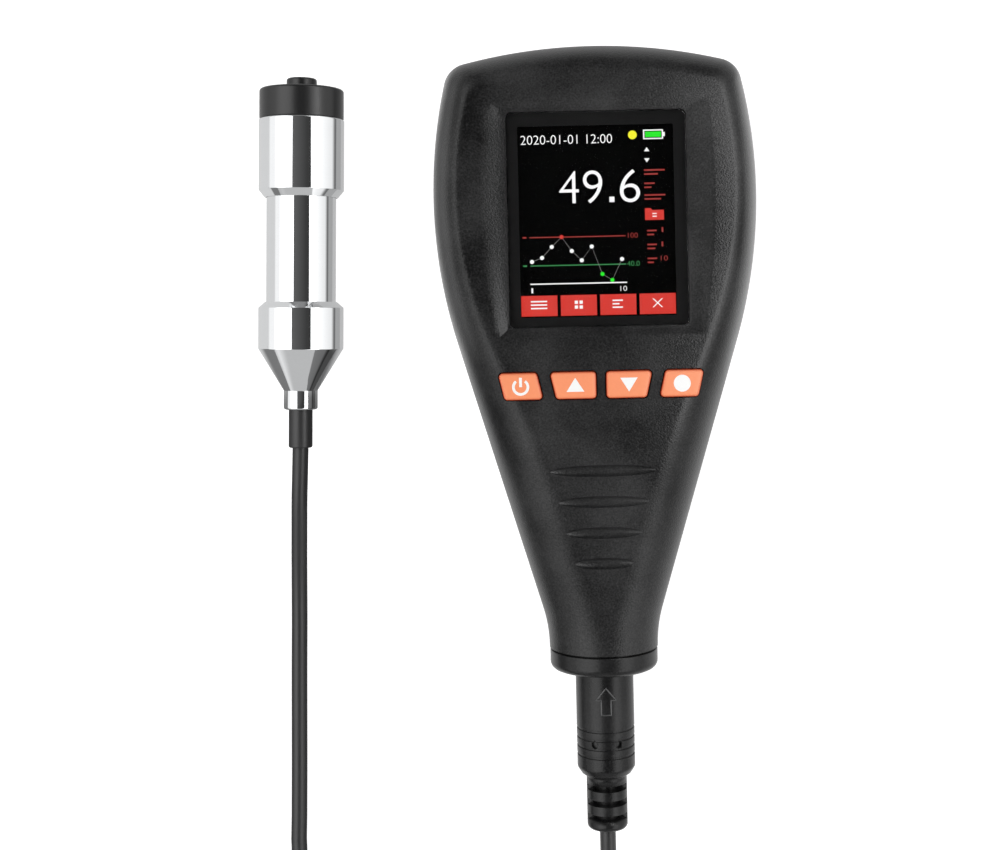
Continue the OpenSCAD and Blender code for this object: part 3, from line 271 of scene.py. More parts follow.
def paint_side_shade(material, color, low, high):
    tree = material.node_tree
    base_color = tree.nodes["Principled BSDF"].inputs["Base Color"]
    top_color = base_color.links[0].from_socket
    coords = tree.nodes.new("ShaderNodeTexCoord")
    axes = tree.nodes.new("ShaderNodeSeparateXYZ")
    tree.links.new(coords.outputs["Object"], axes.inputs["Vector"])
    # painted shade: deep red at the key's foot, its own colour at its top
    height = ranged(tree, axes.outputs["Z"], low * mm, high * mm, shape="LINEAR")
    tree.links.new(color_mix(tree, height, color, top_color), base_color)


paint_side_shade(key_rubber, side_shade_red, shade_low_z, shade_high_z)
print("deep sides on:", key_rubber.name)

# %% [markdown]
# ## Cable
# A metre of round cable joins plug and probe. Only its two ends show in the photograph.
# The rest is wound in two flat layers, spiralling in below and out above, and lies out of view.
# The route repeats the points of the solids and is one smooth curve with a round bevel.

# %% Cable route
cable_d = 3.5
plug_exit = (0, -102.6, 12)
near_points = [
    (0, -106, 12), (0, -110, 11.6), (-0.4, -114, 10.6), (-1.4, -118, 9), (-3, -122.5, 7),
    (-5, -127.5, 5.2), (-7.2, -132.5, 3.8), (-9, -137.5, 3),
]
far_points = [
    (-62.7, -136, 5.8), (-63.6, -131, 5), (-65.2, -126, 3.8), (-67, -121, 2.7), (-68.4, -116, 2.1),
    (-69.2, -110, 1.8), (-69.05, -102, 1.8), (-68.8, -92, 1.8), (-68.55, -80, 1.8), (-68.3, -68, 1.8),
    (-68, -58, 2.1), (-67.7, -50, 3.1), (-67.3, -43, 4.8), (-66.8, -36, 6.9), (-66.4, -30, 8.5),
    (-66.05, -24.5, 9.2),
]
probe_turn = math.radians(1.43)
probe_nose = Vector((-63.8, 60.35, 9.3))
probe_back = Vector((-math.sin(probe_turn), -math.cos(probe_turn), 0))
sleeve_end = 78.85
coil_middle = (-36, -143)
coil_outer, coil_inner, layer_turns, climb_turns = 25.99, 14.61, 3.25, 0.4
low_z, high_z = 2.75, 6.25


def coil_points(steps_per_turn=16):
    points = []
    count = int(2 * layer_turns * steps_per_turn)
    for i in range(1, count):
        turns = i / steps_per_turn
        share = turns / layer_turns
        radius = coil_outer + (coil_inner - coil_outer) * (share if share < 1 else 2 - share)
        rise = min(1, max(0, (turns - layer_turns) / climb_turns + 0.5))
        height = low_z + (high_z - low_z) * rise * rise * (3 - 2 * rise)
        angle = -2 * math.pi * turns
        x = coil_middle[0] + radius * math.cos(angle)
        y = coil_middle[1] + radius * math.sin(angle)
        points.append((x, y, height))
    return points


last_point = tuple(probe_nose + probe_back * (sleeve_end - 1))
route = [plug_exit] + near_points + coil_points() + far_points + [last_point]
print("cable points:", len(route))

# %% Cable curve
cable_curve = bpy.data.curves.new("probe_cable", "CURVE")
cable_curve.dimensions = "3D"
cable_curve.bevel_depth = cable_d / 2 * mm
cable_curve.bevel_resolution = 5
cable_curve.resolution_u = 3
cable_curve.use_fill_caps = True
spline = cable_curve.splines.new("BEZIER")
spline.bezier_points.add(len(route) - 1)
for point, place in zip(spline.bezier_points, route):
    point.co = Vector(place) * mm
    point.handle_left_type = point.handle_right_type = "AUTO"
cable = linked("probe_cable", cable_curve)
cable_curve.materials.append(cable_jacket)
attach(cable, "lead")
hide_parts("lead_near", "lead_coil", "lead_far")
cable_length = sum((Vector(b) - Vector(a)).length for a, b in zip(route, route[1:])) * mm
print("cable length in m:", round(cable_length, 3))

# %% [markdown]
# ## Helpers for pieces
# A piece is a plain mesh in the row's frame, shaded smooth with sharp edges kept.
# Normals are weighted by face area, so that a flat face next to a rounded edge stays flat.
# Closed cutters and added blocks work on a piece through an exact Boolean, which is applied at once.

# %% Piece helpers
weld_reach = 1e-7


def final_mesh(thing):
    graph = bpy.context.evaluated_depsgraph_get()
    return bpy.data.meshes.new_from_object(thing.evaluated_get(graph))


def curve_mesh(name, curve):
    source = linked(name, curve)
    mesh = final_mesh(source)
    bpy.data.objects.remove(source)
    return mesh


def baked(piece):
    mesh = final_mesh(piece)
    piece.modifiers.clear()
    piece.data = mesh
    return piece


def shaded(piece, angle=35):
    piece.data.shade_smooth()
    piece.data.set_sharp_from_angle(angle=math.radians(angle))
    weights = piece.modifiers.new("flat faces stay flat", "WEIGHTED_NORMAL")
    weights.keep_sharp = True
    return baked(piece)


def new_piece(name, mesh, material, body, stands_for=None):
    piece = linked(name, mesh)
    piece.data.materials.clear()
    piece.data.materials.append(material)
    return settle(piece, body, stands_for)


def settle(piece, body, stands_for=None):
    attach(piece, body)
    if stands_for:
        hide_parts(stands_for)
    return piece


def to_mesh(name, points, faces, outward=True):
    mesh = bpy.data.meshes.new(name)
    mesh.from_pydata([Vector(p) * mm for p in points], [], faces)
    work = bmesh.new()
    work.from_mesh(mesh)
    bmesh.ops.remove_doubles(work, verts=work.verts, dist=weld_reach)
    if outward:
        bmesh.ops.recalc_face_normals(work, faces=work.faces)
    work.to_mesh(mesh)
    work.free()
    return mesh


print("piece helpers ready")

# %% Rings, lids and cutters
def bands(rings, around):
    faces = []
    for k in range(rings - 1):
        for i in range(around):
            n = (i + 1) % around
            faces.append([k * around + i, k * around + n, (k + 1) * around + n, (k + 1) * around + i])
    return faces


def lids(rings, around):
    return [list(range(around))[::-1], [(rings - 1) * around + i for i in range(around)]]


def joined(parts):
    points, faces = [], []
    for some_points, some_faces in parts:
        faces += [[i + len(points) for i in face] for face in some_faces]
        points += some_points
    return points, faces


def worked(piece, operation, parts):
    tool = linked("tool", to_mesh("tool", *joined(parts)))
    step = piece.modifiers.new(operation, "BOOLEAN")
    step.operation = operation
    step.solver = "EXACT"
    step.object = tool
    baked(piece)
    bpy.data.objects.remove(tool)


print("mesh helpers ready")

# %% [markdown]
# ## Turned pieces
# Collar, plug and probe are turned or moulded round. A lathe profile with filleted corners gives
# clean reflections, where the solids' own mesh has only a few dozen flats round the axis.

# %% Lathe
plug_axis_z, plug_seat_y, on_axis = 12.0, -62.8, 1e-6


def filleted(corners, steps=5):
    profile = []
    count = len(corners)
    for i, (r, s, fillet) in enumerate(corners):
        here = Vector((r, s))
        if not fillet:
            profile.append(here)
            continue
        before = Vector(corners[i - 1][:2]) - here
        after = Vector(corners[(i + 1) % count][:2]) - here
        half = before.angle(after) / 2
        reach = fillet / math.tan(half)
        start, end = here + before.normalized() * reach, here + after.normalized() * reach
        middle = here + (before.normalized() + after.normalized()).normalized() * (fillet / math.sin(half))
        for k in range(steps + 1):
            spoke = (start - middle).lerp(end - middle, k / steps)
            profile.append(middle + spoke.normalized() * fillet)
    return profile


def unit_place(r, s, turn):
    return (r * math.cos(turn), plug_seat_y - s, plug_axis_z + r * math.sin(turn))


def probe_place(r, s, turn):
    side = Vector((math.cos(probe_turn), -math.sin(probe_turn), 0))
    return probe_nose + probe_back * s + side * (r * math.cos(turn)) + Vector((0, 0, r * math.sin(turn)))


def lathe(name, corners, place, segments=112):
    profile = filleted(corners)
    count = len(profile)
    points = [place(p.x, p.y, 2 * math.pi * k / segments) for k in range(segments) for p in profile]
    faces = []
    for k in range(segments):
        for i in range(count):
            j = (i + 1) % count
            if profile[i].x < on_axis and profile[j].x < on_axis:
                continue
            a, b = k * count, (k + 1) % segments * count
            ring = [a + i, a + j, b + j, b + i]
            if profile[i].x < on_axis:
                ring = [a + i, a + j, b + j]
            elif profile[j].x < on_axis:
                ring = [a + i, a + j, b + i]
            faces.append(ring)
    return to_mesh(name, points, faces)


def turned_piece(node, corners, place, material, body):
    piece = new_piece(node + "_turned", lathe(node, corners, place), material, body, node)
    return shaded(piece)


print("lathe ready")

# %% Collar
collar = turned_piece(
    "end_collar",
    [(7.6, -5, 0), (10.2, -5, 0.2), (10.2, -3.6, 0.2), (9.5, -3.6, 0), (9.5, 0.05, 0), (10.7, 0.05, 0),
     (10.7, 0.45, 0), (11.7, 0.45, 0.2), (11.7, 4.7, 1.6), (6.6, 4.7, 0.5), (6.6, 0, 0), (7.6, 0, 0)],
    unit_place, soft_black, "housing",
)
print("collar faces:", len(collar.data.polygons))

# %% [markdown]
# ## Probe
# The probe is a plated barrel between two thicker collars, with a cone and ferrule at the cable.
# Its nose is black plastic, and the black measuring tip with its steel core stands out of it.

# %% Probe
front_collar = turned_piece(
    "probe_front_collar",
    [(8.0, 6.65, 0), (9.3, 6.65, 0.35), (9.3, 22.25, 0.15), (8.0, 23.85, 0.12), (7.7, 23.85, 0),
     (7.7, 18.8, 0), (8.0, 18.8, 0)],
    probe_place, plating, "lead",
)
barrel = turned_piece(
    "probe_barrel", [(5.6, 18.8, 0), (7.6, 18.8, 0.2), (7.6, 52.75, 0.2), (5.6, 52.75, 0)],
    probe_place, plating, "lead",
)
tail = turned_piece(
    "probe_tail",
    [(7.7, 46.75, 0), (7.8, 46.75, 0.02), (9.3, 48.05, 0.15), (9.3, 57.05, 0.2), (3.7, 66.25, 0.15),
     (3.7, 70.45, 0.5), (2.7, 70.45, 0), (2.7, 64.25, 0), (1.6, 64.25, 0), (1.6, 59.05, 0), (5.6, 56.05, 0),
     (5.6, 52.75, 0), (7.7, 52.75, 0)],
    probe_place, plating, "lead",
)
sleeve = turned_piece(
    "cable_sleeve", [(0, 64.25, 0), (2.6, 64.25, 0.2), (2.6, sleeve_end, 0.35), (0, sleeve_end, 0)],
    probe_place, cable_jacket, "lead",
)
nose = turned_piece(
    "probe_nose",
    [(3.38, 0, 0.2), (9.2, 0, 0.6), (9.2, 6.65, 0.3), (7.9, 6.65, 0), (7.9, 16.8, 0), (5.28, 16.8, 0),
     (5.28, 2.5, 0), (3.38, 2.5, 0)],
    probe_place, nose_black, "lead",
)
tip = turned_piece(
    "measuring_tip",
    [(1.2, -2.4, 0), (3.3, -2.4, 0.5), (3.3, 2.6, 0), (5.2, 2.6, 0.2), (5.2, 4, 0), (1.8, 4, 0),
     (1.8, 8.5, 0), (4.2, 8.5, 0), (4.2, 9.3, 0), (1.8, 9.3, 0), (1.8, 21.8, 0), (1.2, 21.8, 0)],
    probe_place, nose_black, "tip",
)
print("probe pieces:", [p.name for p in (front_collar, barrel, tail, sleeve, nose, tip)])

# %% [markdown]
# A return spring sits inside, between the tip's flange and the guide bush. On the real probe it is pressed
# together when the tip goes in.

# %% Tip spring
spring_from, spring_to, spring_r, spring_wire, spring_turns = 9.3, 16.8, 3.0, 0.6, 4


def wire_spring(turn_steps=32, sides=10):
    half = spring_wire / 2
    count = spring_turns * turn_steps
    points = []
    for i in range(count + 1):
        s = spring_from + half + (spring_to - spring_from - spring_wire) * i / count
        turn = 2 * math.pi * i / turn_steps
        for k in range(sides):
            a = 2 * math.pi * k / sides
            points.append(probe_place(spring_r + half * math.cos(a), s + half * math.sin(a), turn))
    return points, bands(count + 1, sides) + lids(count + 1, sides)


spring = linked("tip_spring_wire", to_mesh("tip_spring", *wire_spring()))
spring.data.materials.append(screw_steel)
shaded(spring)
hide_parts("tip_spring")
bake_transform(spring)
print("spring turns:", spring_turns)

# %% [markdown]
# ## Plug
# The plug is one overmoulding: a grooved grip with two dimples, a rounded shoulder and a slotted relief.
# Grooves lie in the profile. Slots and dimples are cut with closed cutters, and a raised arrow is added.

# %% Plug body
grip_r, ring_floor, ring_half, ring_soft = 6.3, 6.05, 0.25, 0.08
ring_first, ring_pitch, ring_grooves = 17.55, 1.9, 4
grip_grooves = []
for k in range(ring_grooves):
    s = ring_first + ring_pitch * k
    grip_grooves += [(grip_r, s - ring_half, ring_soft), (ring_floor, s - ring_half, 0),
                     (ring_floor, s + ring_half, 0), (grip_r, s + ring_half, ring_soft)]
plug = turned_piece(
    "plug_body",
    [(0, 2.5, 0), (grip_r, 2.5, 0.6)] + grip_grooves
    + [(grip_r, 26.2, 1.2), (5.4, 27.6, 0.6), (4.4, 28.2, 0.5), (4.4, 39.8, 1.0), (0, 39.8, 0)],
    unit_place, soft_black, "lead",
)
print("ring grooves:", ring_grooves)

# %% Plug slots and dimples
slot_floor, slot_reach, slot_from, slot_to, slot_pitch = 2.35, 7.0, 29.8, 31.1, 3.2
dimple_floor, dimple_reach, dimple_s, dimple_r = 5.5, 8.0, 20.4, 0.75


def ring_sector(inner, outer, s0, s1, a0, a1, steps=24):
    points = []
    for k in range(steps + 1):
        turn = math.radians(a0 + (a1 - a0) * k / steps)
        points += [unit_place(r, s, turn) for r, s in ((inner, s0), (outer, s0), (outer, s1), (inner, s1))]
    return points, bands(steps + 1, 4) + lids(steps + 1, 4)


def radial_pin(r0, r1, s, turn, radius, steps=20):
    out = Vector((math.cos(turn), 0, math.sin(turn)))
    across = Vector((-math.sin(turn), 0, math.cos(turn)))
    points = []
    for r in (r0, r1):
        base = Vector((0, plug_seat_y - s, plug_axis_z)) + out * r
        for k in range(steps):
            a = 2 * math.pi * k / steps
            points.append(base + across * (radius * math.cos(a)) + Vector((0, radius * math.sin(a), 0)))
    return points, bands(2, steps) + lids(2, steps)


cuts = []
for k in range(3):
    s0, s1 = slot_from + slot_pitch * k, slot_to + slot_pitch * k
    cuts += [ring_sector(slot_floor, slot_reach, s0, s1, side + 15, side + 165) for side in (0, 180)]
for a in (-25, 25):
    cuts.append(radial_pin(dimple_floor, dimple_reach, dimple_s, math.radians(90 + a), dimple_r))
worked(plug, "DIFFERENCE", cuts)
shaded(plug)
print("plug faces:", len(plug.data.polygons))

# %% Plug arrow
arrow_ridge, arrow_steps = 0.16, 5
arrow_corners = [(0, -70.8), (2.1, -73.4), (1.05, -73.4), (1.05, -76.6), (-1.05, -76.6), (-1.05, -73.4),
                 (-2.1, -73.4)]


def on_plug(x, y):
    return (x, y, plug_axis_z + math.sqrt(grip_r ** 2 - x * x))


arrow_curve = bpy.data.curves.new("plug_arrow", "CURVE")
arrow_curve.dimensions = "3D"
arrow_curve.bevel_depth = arrow_ridge * mm
arrow_curve.bevel_resolution = 2
arrow_line = arrow_curve.splines.new("POLY")
arrow_line.use_cyclic_u = True
arrow_points = []
for (x0, y0), (x1, y1) in zip(arrow_corners, arrow_corners[1:] + arrow_corners[:1]):
    for k in range(arrow_steps):
        arrow_points.append(on_plug(x0 + (x1 - x0) * k / arrow_steps, y0 + (y1 - y0) * k / arrow_steps))
arrow_line.points.add(len(arrow_points) - 1)
for point, place in zip(arrow_line.points, arrow_points):
    point.co = (*(Vector(place) * mm), 1)
arrow_mesh = curve_mesh("plug_arrow_line", arrow_curve)
# The lighter arrow carries a painted highlight.
arrow = shaded(new_piece("plug_arrow", arrow_mesh, ridge_black, "lead"))
print("arrow points:", len(arrow_points))

# %% [markdown]
# Plug, sleeve and tie travel with the cable.
# It leaves the plug's strain relief and goes back into the object at the probe.

# %% [markdown]
# ## Housing
# The unit is a paddle: a wide head with bulging sides that tapers and turns into a round grip.
# It is a loft. One plan outline of tangent arcs is drawn in and lifted ring by ring, and its edge
# rounding grows from the head to the grip until the section is a half circle.
# The solids use the same rule with few rings. Here it runs with many, for clean highlights.

# %% Plan outline
body_top, seam_y, wide_y, body_l = 67.5, -62.8, 35.2, 130.3
half_w, head_t, end_r, wall, split_z = 35.0, 29.5, 11.8, 2.2, 12.0
crown_r, corner_r, side_r, neck_r = 118.0, 5.5, 110.0, 30.0
front_edge, crown_edge, edge_blend, slope_from, grip_round = 6.5, 7.0, 68.0, 74.0, 0.98
crown_steps, corner_steps, side_steps, taper_steps, neck_steps = 20, 14, 40, 30, 12


def ease(u):
    u = min(1.0, max(0.0, u))
    return u * u * (3 - 2 * u)


def arc_run(c, r, a0, a1, count):
    turns = [a0 + (a1 - a0) * i / count for i in range(count)]
    return [Vector((c.x + r * math.sin(a), c.y + r * math.cos(a))) for a in turns]


crown_c = Vector((0, body_top - crown_r))
side_c = Vector((half_w - side_r, wide_y))
reach = side_c - crown_c
along = (reach.length_squared + (crown_r - corner_r) ** 2 - (side_r - corner_r) ** 2) / (2 * reach.length)
aside = math.sqrt((crown_r - corner_r) ** 2 - along ** 2)
unit = reach.normalized()
corner_c = crown_c + unit * along + Vector((unit.y, -unit.x)) * aside
neck_c = Vector((end_r + neck_r, seam_y))
span = Vector((neck_c.x - side_c.x, side_c.y - neck_c.y))
taper_a = math.atan2(span.y, span.x) - math.acos((side_r + neck_r) / span.length)
crown_a = math.atan2(corner_c.x - crown_c.x, corner_c.y - crown_c.y)
side_a = math.atan2(corner_c.x - side_c.x, corner_c.y - side_c.y)
side_end = math.pi / 2 + taper_a
taper_start = side_c + side_r * Vector((math.sin(side_end), math.cos(side_end)))
taper_end = neck_c + neck_r * Vector((-math.cos(taper_a), math.sin(taper_a)))
right_half = arc_run(crown_c, crown_r, 0, crown_a, crown_steps)
right_half += arc_run(corner_c, corner_r, crown_a, side_a, corner_steps)
right_half += arc_run(side_c, side_r, side_a, side_end, side_steps)
right_half += [taper_start.lerp(taper_end, i / taper_steps) for i in range(taper_steps)]
for i in range(neck_steps + 1):
    a = taper_a * (1 - i / neck_steps)
    right_half.append(neck_c + neck_r * Vector((-math.cos(a), math.sin(a))))
outline = right_half[::-1] + [Vector((-p.x, p.y)) for p in right_half[1:]]
print("outline points:", len(outline))

# %% Front skin
def face_z(y):
    return head_t - (head_t - split_z - end_r) * ease((body_top - y - slope_from) / (body_l - slope_from))


def skin_point(p, turn, depth):
    q = 1 - math.cos(turn)
    if p.y > wide_y:
        x = p.x * (1 - depth / half_w) * (1 - q * front_edge / (half_w - depth))
        crown = (p.y - wide_y) * (1 - depth / (body_top - wide_y))
        y = wide_y + crown * (1 - q * crown_edge / (body_top - wide_y - depth))
    else:
        edge = front_edge + ((end_r - depth) * grip_round - front_edge) * ease((wide_y - p.y) / edge_blend)
        x, y = p.x - math.copysign(depth + q * edge, p.x), p.y
    return (x, y, split_z + (face_z(y) - depth - split_z) * math.sin(turn))


ring_count, seam_soft = 18, 0.13


def front_bowl():
    count = len(outline)
    turns = [math.pi / 2 * k / ring_count for k in range(ring_count + 1)]
    outer = [[skin_point(p, a, 0) for p in outline] for a in turns]
    lip = [(x, y, split_z) for x, y, _ in (skin_point(p, 0, seam_soft) for p in outline)]
    outer[0] = [(x, y, split_z + seam_soft) for x, y, _ in outer[0]]
    inner = [[skin_point(p, a, wall) for p in outline] for a in turns]
    rings = outer[::-1] + [lip] + inner
    points = [p for ring in rings for p in ring]
    faces = []
    for k in range(len(rings) - 1):
        for j in range(count - 1):
            a = k * count + j
            faces.append([a, a + 1, a + count + 1, a + count])
    last = (len(rings) - 1) * count
    middle = (count - 1) // 2
    for base in (0, last):
        for j in range(middle - 1):
            faces.append([base + j, base + j + 1, base + count - 2 - j, base + count - 1 - j])
        faces.append([base + middle - 1, base + middle, base + middle + 1])
    left = [k * count + count - 1 for k in range(len(rings))]
    right = [k * count for k in range(len(rings))]
    half = len(outer) - 1
    for side in (right, left):
        for k in range(half):
            faces.append([side[k], side[k + 1], side[-2 - k], side[-1 - k]])
        faces.append([side[half], side[half + 1], side[half + 2]])
    faces.append([right[0], left[0], left[-1], right[-1]])
    return points, faces


print("front skin points:", len(front_bowl()[0]))

# %% [markdown]
# The front shell is then worked like the moulding: a frame and screw bosses are joined on inside,
# and recess, window, key openings, grooves and bores are cut out with closed cutters.
# The recess rim is eased, because the real one has no hard edge there. A grip groove is a long, blunt
# ball that dips into the face.

# %% Outlines of the openings
def prism(loop, z0, z1):
    points = [(x, y, z0) for x, y in loop] + [(x, y, z1) for x, y in loop]
    return points, bands(2, len(loop)) + lids(2, len(loop))


def disc(x, y, r, z0, z1, steps=40):
    turns = [2 * math.pi * k / steps for k in range(steps)]
    return prism([(x + r * math.cos(t), y + r * math.sin(t)) for t in turns], z0, z1)


def bar(x0, y0, x1, y1, z0, z1):
    return prism([(x0, y0), (x1, y0), (x1, y1), (x0, y1)], z0, z1)


def grown(corners, d):
    out = []
    for i, p in enumerate(corners):
        a = (Vector(p) - Vector(corners[i - 1])).normalized()
        b = (Vector(corners[(i + 1) % 4]) - Vector(p)).normalized()
        na, nb = Vector((a.y, -a.x)), Vector((b.y, -b.x))
        out.append(Vector(p) + (na + nb) * (d / (1 + na.dot(nb))))
    return out


def rounded(corners, r, steps=7):
    out = []
    for i, p in enumerate(corners):
        u = (corners[i - 1] - p).normalized()
        v = (corners[(i + 1) % 4] - p).normalized()
        half = u.angle(v) / 2
        bisector = (u + v).normalized()
        middle = p + bisector * (r / math.sin(half))
        turn = math.pi - 2 * half
        start = math.atan2(-bisector.y, -bisector.x) - turn / 2
        turns = [start + turn * k / steps for k in range(steps + 1)]
        out += [middle + Vector((math.cos(t), math.sin(t))) * r for t in turns]
    return out


def rounded_box(x0, y0, x1, y1, r):
    corners = [Vector(c) for c in ((x0, y0), (x1, y0), (x1, y1), (x0, y1))]
    return [tuple(p) for p in rounded(corners, r)]


window_w, window_h, window_low, pane_z = 37.4, 44.8, 7.0, 26.8
inner_corners = [(1.05, -7.9), (9.35, -7.9), (10.65, -2.3), (1.05, -2.3)]
outer_corners = [(12.05, -7.9), (20.05, -7.9), (21.35, -2.3), (13.35, -2.3)]
key_corner, key_gap, skirt_gap = 0.8, 0.25, 0.85
print("window in mm:", window_w, "by", window_h)

# %% Recess
recess_low, recess_top, recess_floor, recess_deep, above_face = 4.6, 54.7, 28.3, 1.2, 30.3
recess_wide, recess_top_w, recess_low_w = 49.4, 46.8, 43.0
flank_straight, flank_eased = 0.45, 0.55


def recess_half(y):
    if y > wide_y:
        share, end_w = (y - wide_y) / (recess_top - wide_y), recess_top_w
    else:
        share, end_w = (wide_y - y) / (wide_y - recess_low), recess_low_w
    return (recess_wide + (end_w - recess_wide) * share ** 2) / 2


def recess_loft(steps=9, count=28):
    foot = [Vector((window_w / 2, window_low + window_h * i / count)) for i in range(count + 1)]
    rim_y = [recess_low + (recess_top - recess_low) * i / count for i in range(count + 1)]
    rim = [Vector((recess_half(y), y)) for y in rim_y]
    rings = []
    for k in range(steps + 2):
        u = k / steps
        flank = recess_floor + recess_deep * (flank_straight * u + flank_eased * ease(u))
        z = flank if k <= steps else above_face
        side = [f.lerp(r, min(u, 1.0)) for f, r in zip(foot, rim)]
        rings.append([(p.x, p.y, z) for p in side] + [(-p.x, p.y, z) for p in reversed(side)])
    around = len(rings[0])
    points = [p for ring in rings for p in ring]
    faces = bands(len(rings), around)
    for base in (0, (len(rings) - 1) * around):
        last = base + around - 1
        faces += [[base + i, base + i + 1, last - 1 - i, last - i] for i in range(count)]
    return points, faces


print("recess in mm:", recess_wide, "by", round(recess_top - recess_low, 1))

# %% Grooves
groove_first, groove_pitch, groove_l, groove_less, groove_w, groove_deep = -23.1, 6.6, 22.0, 3.1, 2.5, 1.2
groove_count, over_face = 4, 0.3


def ball(middle, radii, tilt, steps=(72, 36), blunt=0.85):
    points = []
    across, up = steps
    for i in range(1, up):
        lat = math.pi * i / up
        for k in range(across):
            a = 2 * math.pi * k / across
            reach_x = math.copysign(abs(math.cos(a)) ** blunt, math.cos(a))
            x = radii[0] * math.sin(lat) * reach_x
            y = radii[1] * math.sin(lat) * math.sin(a)
            z = radii[2] * math.cos(lat)
            points.append((middle[0] + x, middle[1] + y * math.cos(tilt) - z * math.sin(tilt),
                           middle[2] + y * math.sin(tilt) + z * math.cos(tilt)))
    return points, bands(up - 1, across) + lids(up - 1, across)


def groove(index):
    y, length = groove_first - groove_pitch * index, groove_l - groove_less * index
    slope = math.atan(face_z(y + 0.5) - face_z(y - 0.5))
    lift = over_face * groove_deep
    share = math.sqrt(1 - (lift / (groove_deep + lift)) ** 2)
    radii = (length / 2 / share, groove_w / 2 / share, groove_deep + lift)
    return ball((0, y, face_z(y) + lift), radii, slope)


print("grooves at Y:", [round(groove_first - groove_pitch * k, 1) for k in range(groove_count)])

# %% Front shell
case_places, case_boss_r, case_bore_r = [(25.5, 51.0, 28.03), (8.5, -37.8, 20.6)], 2.95, 1.35
board_places, board_boss_r, board_bore_r = [(27.66, 43.8, 28.03), (22.85, 1.95, 25.2)], 2.65, 1.05
board_boss_low, case_bore_z, board_bore_z = 20.2, (11.5, 19), (19.7, 24.1)
key_hole_z, skirt_z = (26.8, 30.5), (25.0, 27.25)
frame_bar, lit_opening = (-21.1, 4.6, 21.1, 54.2, 25.7, 28.03), (-16.7, 8.9, 16.7, 49.9, 25.2, 31.5)
pane_seat, pane_seat_top, pane_seat_r = (-18.8, 6.9, 18.8, 51.9), 31, 1.2
socket_bore, collar_bore = (9.6, -5.1, 0.5), (10.3, -5.1, -3.5)


def key_hole(corners, grow, z0, z1):
    loop = [tuple(p) for p in rounded(grown(corners, grow), key_corner + grow)]
    return [prism(loop, z0, z1), prism([(-x, y) for x, y in reversed(loop)], z0, z1)]


def turned_bore(r, s0, s1, steps=72):
    points = [unit_place(r, s, 2 * math.pi * k / steps) for s in (s0, s1) for k in range(steps)]
    return points, bands(2, steps) + lids(2, steps)


front = new_piece("front_shell_skin", to_mesh("front_shell", *front_bowl()), shell_plastic,
                  "housing", "front_shell")
adds = [bar(*frame_bar)]
first_cuts = [recess_loft()] + [groove(k) for k in range(groove_count)]
for corners in (inner_corners, outer_corners):
    first_cuts += key_hole(corners, key_gap, *key_hole_z)
for s in (-1, 1):
    adds += [disc(s * x, y, case_boss_r, split_z, top) for x, y, top in case_places]
    adds += [disc(s * x, y, board_boss_r, board_boss_low, top) for x, y, top in board_places]
    first_cuts += [disc(s * x, y, case_bore_r, *case_bore_z) for x, y, _ in case_places]
    first_cuts += [disc(s * x, y, board_bore_r, *board_bore_z) for x, y, _ in board_places]
second_cuts = [prism(rounded_box(*pane_seat, pane_seat_r), pane_z, pane_seat_top), turned_bore(*socket_bore)]
for corners in (inner_corners, outer_corners):
    second_cuts += key_hole(corners, skirt_gap, *skirt_z)
worked(front, "UNION", adds)
worked(front, "DIFFERENCE", first_cuts)
worked(front, "DIFFERENCE", second_cuts)
worked(front, "DIFFERENCE", [bar(*lit_opening), turned_bore(*collar_bore)])
shaded(front, 28)
print("front shell faces:", len(front.data.polygons))

# %% [markdown]
# The rear shell and the battery cover keep the form of their solids. A merged copy with smooth,
# weighted normals is enough there, with a fine bevel along the seam and round the cover.

# %% Rear shell and cover
copy_weld, in_plane, nearly_flat = 2e-6, 1e-6, 0.99


def merged_copy(node, bevel_rim=0.0):
    work = bmesh.new()
    work.from_mesh(nodes[node].data)
    bmesh.ops.remove_doubles(work, verts=work.verts, dist=copy_weld)
    if bevel_rim:
        work.normal_update()
        rim = []
        for edge in work.edges:
            if len(edge.link_faces) != 2 or any(abs(v.co.z - split_z * mm) > in_plane for v in edge.verts):
                continue
            flat = [abs(f.normal.z) > nearly_flat for f in edge.link_faces]
            if flat[0] == flat[1]:
                continue
            side = edge.link_faces[0 if flat[1] else 1]
            middle = (edge.verts[0].co + edge.verts[1].co) / 2
            outward = Vector((middle.x, max(0.0, middle.y - wide_y * mm), 0))
            if side.normal.dot(outward) > 0:
                rim.append(edge)
        bmesh.ops.bevel(work, geom=rim, offset=bevel_rim * mm, segments=2, profile=0.5, affect="EDGES")
    mesh = bpy.data.meshes.new(node)
    work.to_mesh(mesh)
    work.free()
    return mesh


def soft_edges(piece, width, angle):
    edge_round = piece.modifiers.new("soft edges", "BEVEL")
    edge_round.width = width * mm
    edge_round.segments = 2
    edge_round.limit_method = "ANGLE"
    edge_round.angle_limit = math.radians(angle)
    return shaded(baked(piece))


rear = shaded(new_piece("rear_shell_skin", merged_copy("rear_shell", bevel_rim=0.14), shell_plastic,
                        "housing", "rear_shell"), 28)
cover = soft_edges(new_piece("battery_cover_skin", merged_copy("battery_cover"), cover_plastic,
                             "housing", "battery_cover"), 0.25, 40)
print("rear faces:", len(rear.data.polygons), "and cover faces:", len(cover.data.polygons))

# %% [markdown]
# ## Keys
# Four soft keys stand a little proud of the face, with slanted ends and pillowed tops.
# Each is lofted from its own outline, drawn in ring by ring, and rides on its own slide.

# %% Key caps
key_levels = [(0.6, 26.0), (0.6, 27.2), (0, 27.2), (0, 29.55), (-0.05, 29.78), (-0.18, 29.95),
              (-0.4, 30.07), (-0.75, 30.14), (-1.3, 30.175)]
least_corner = 0.25


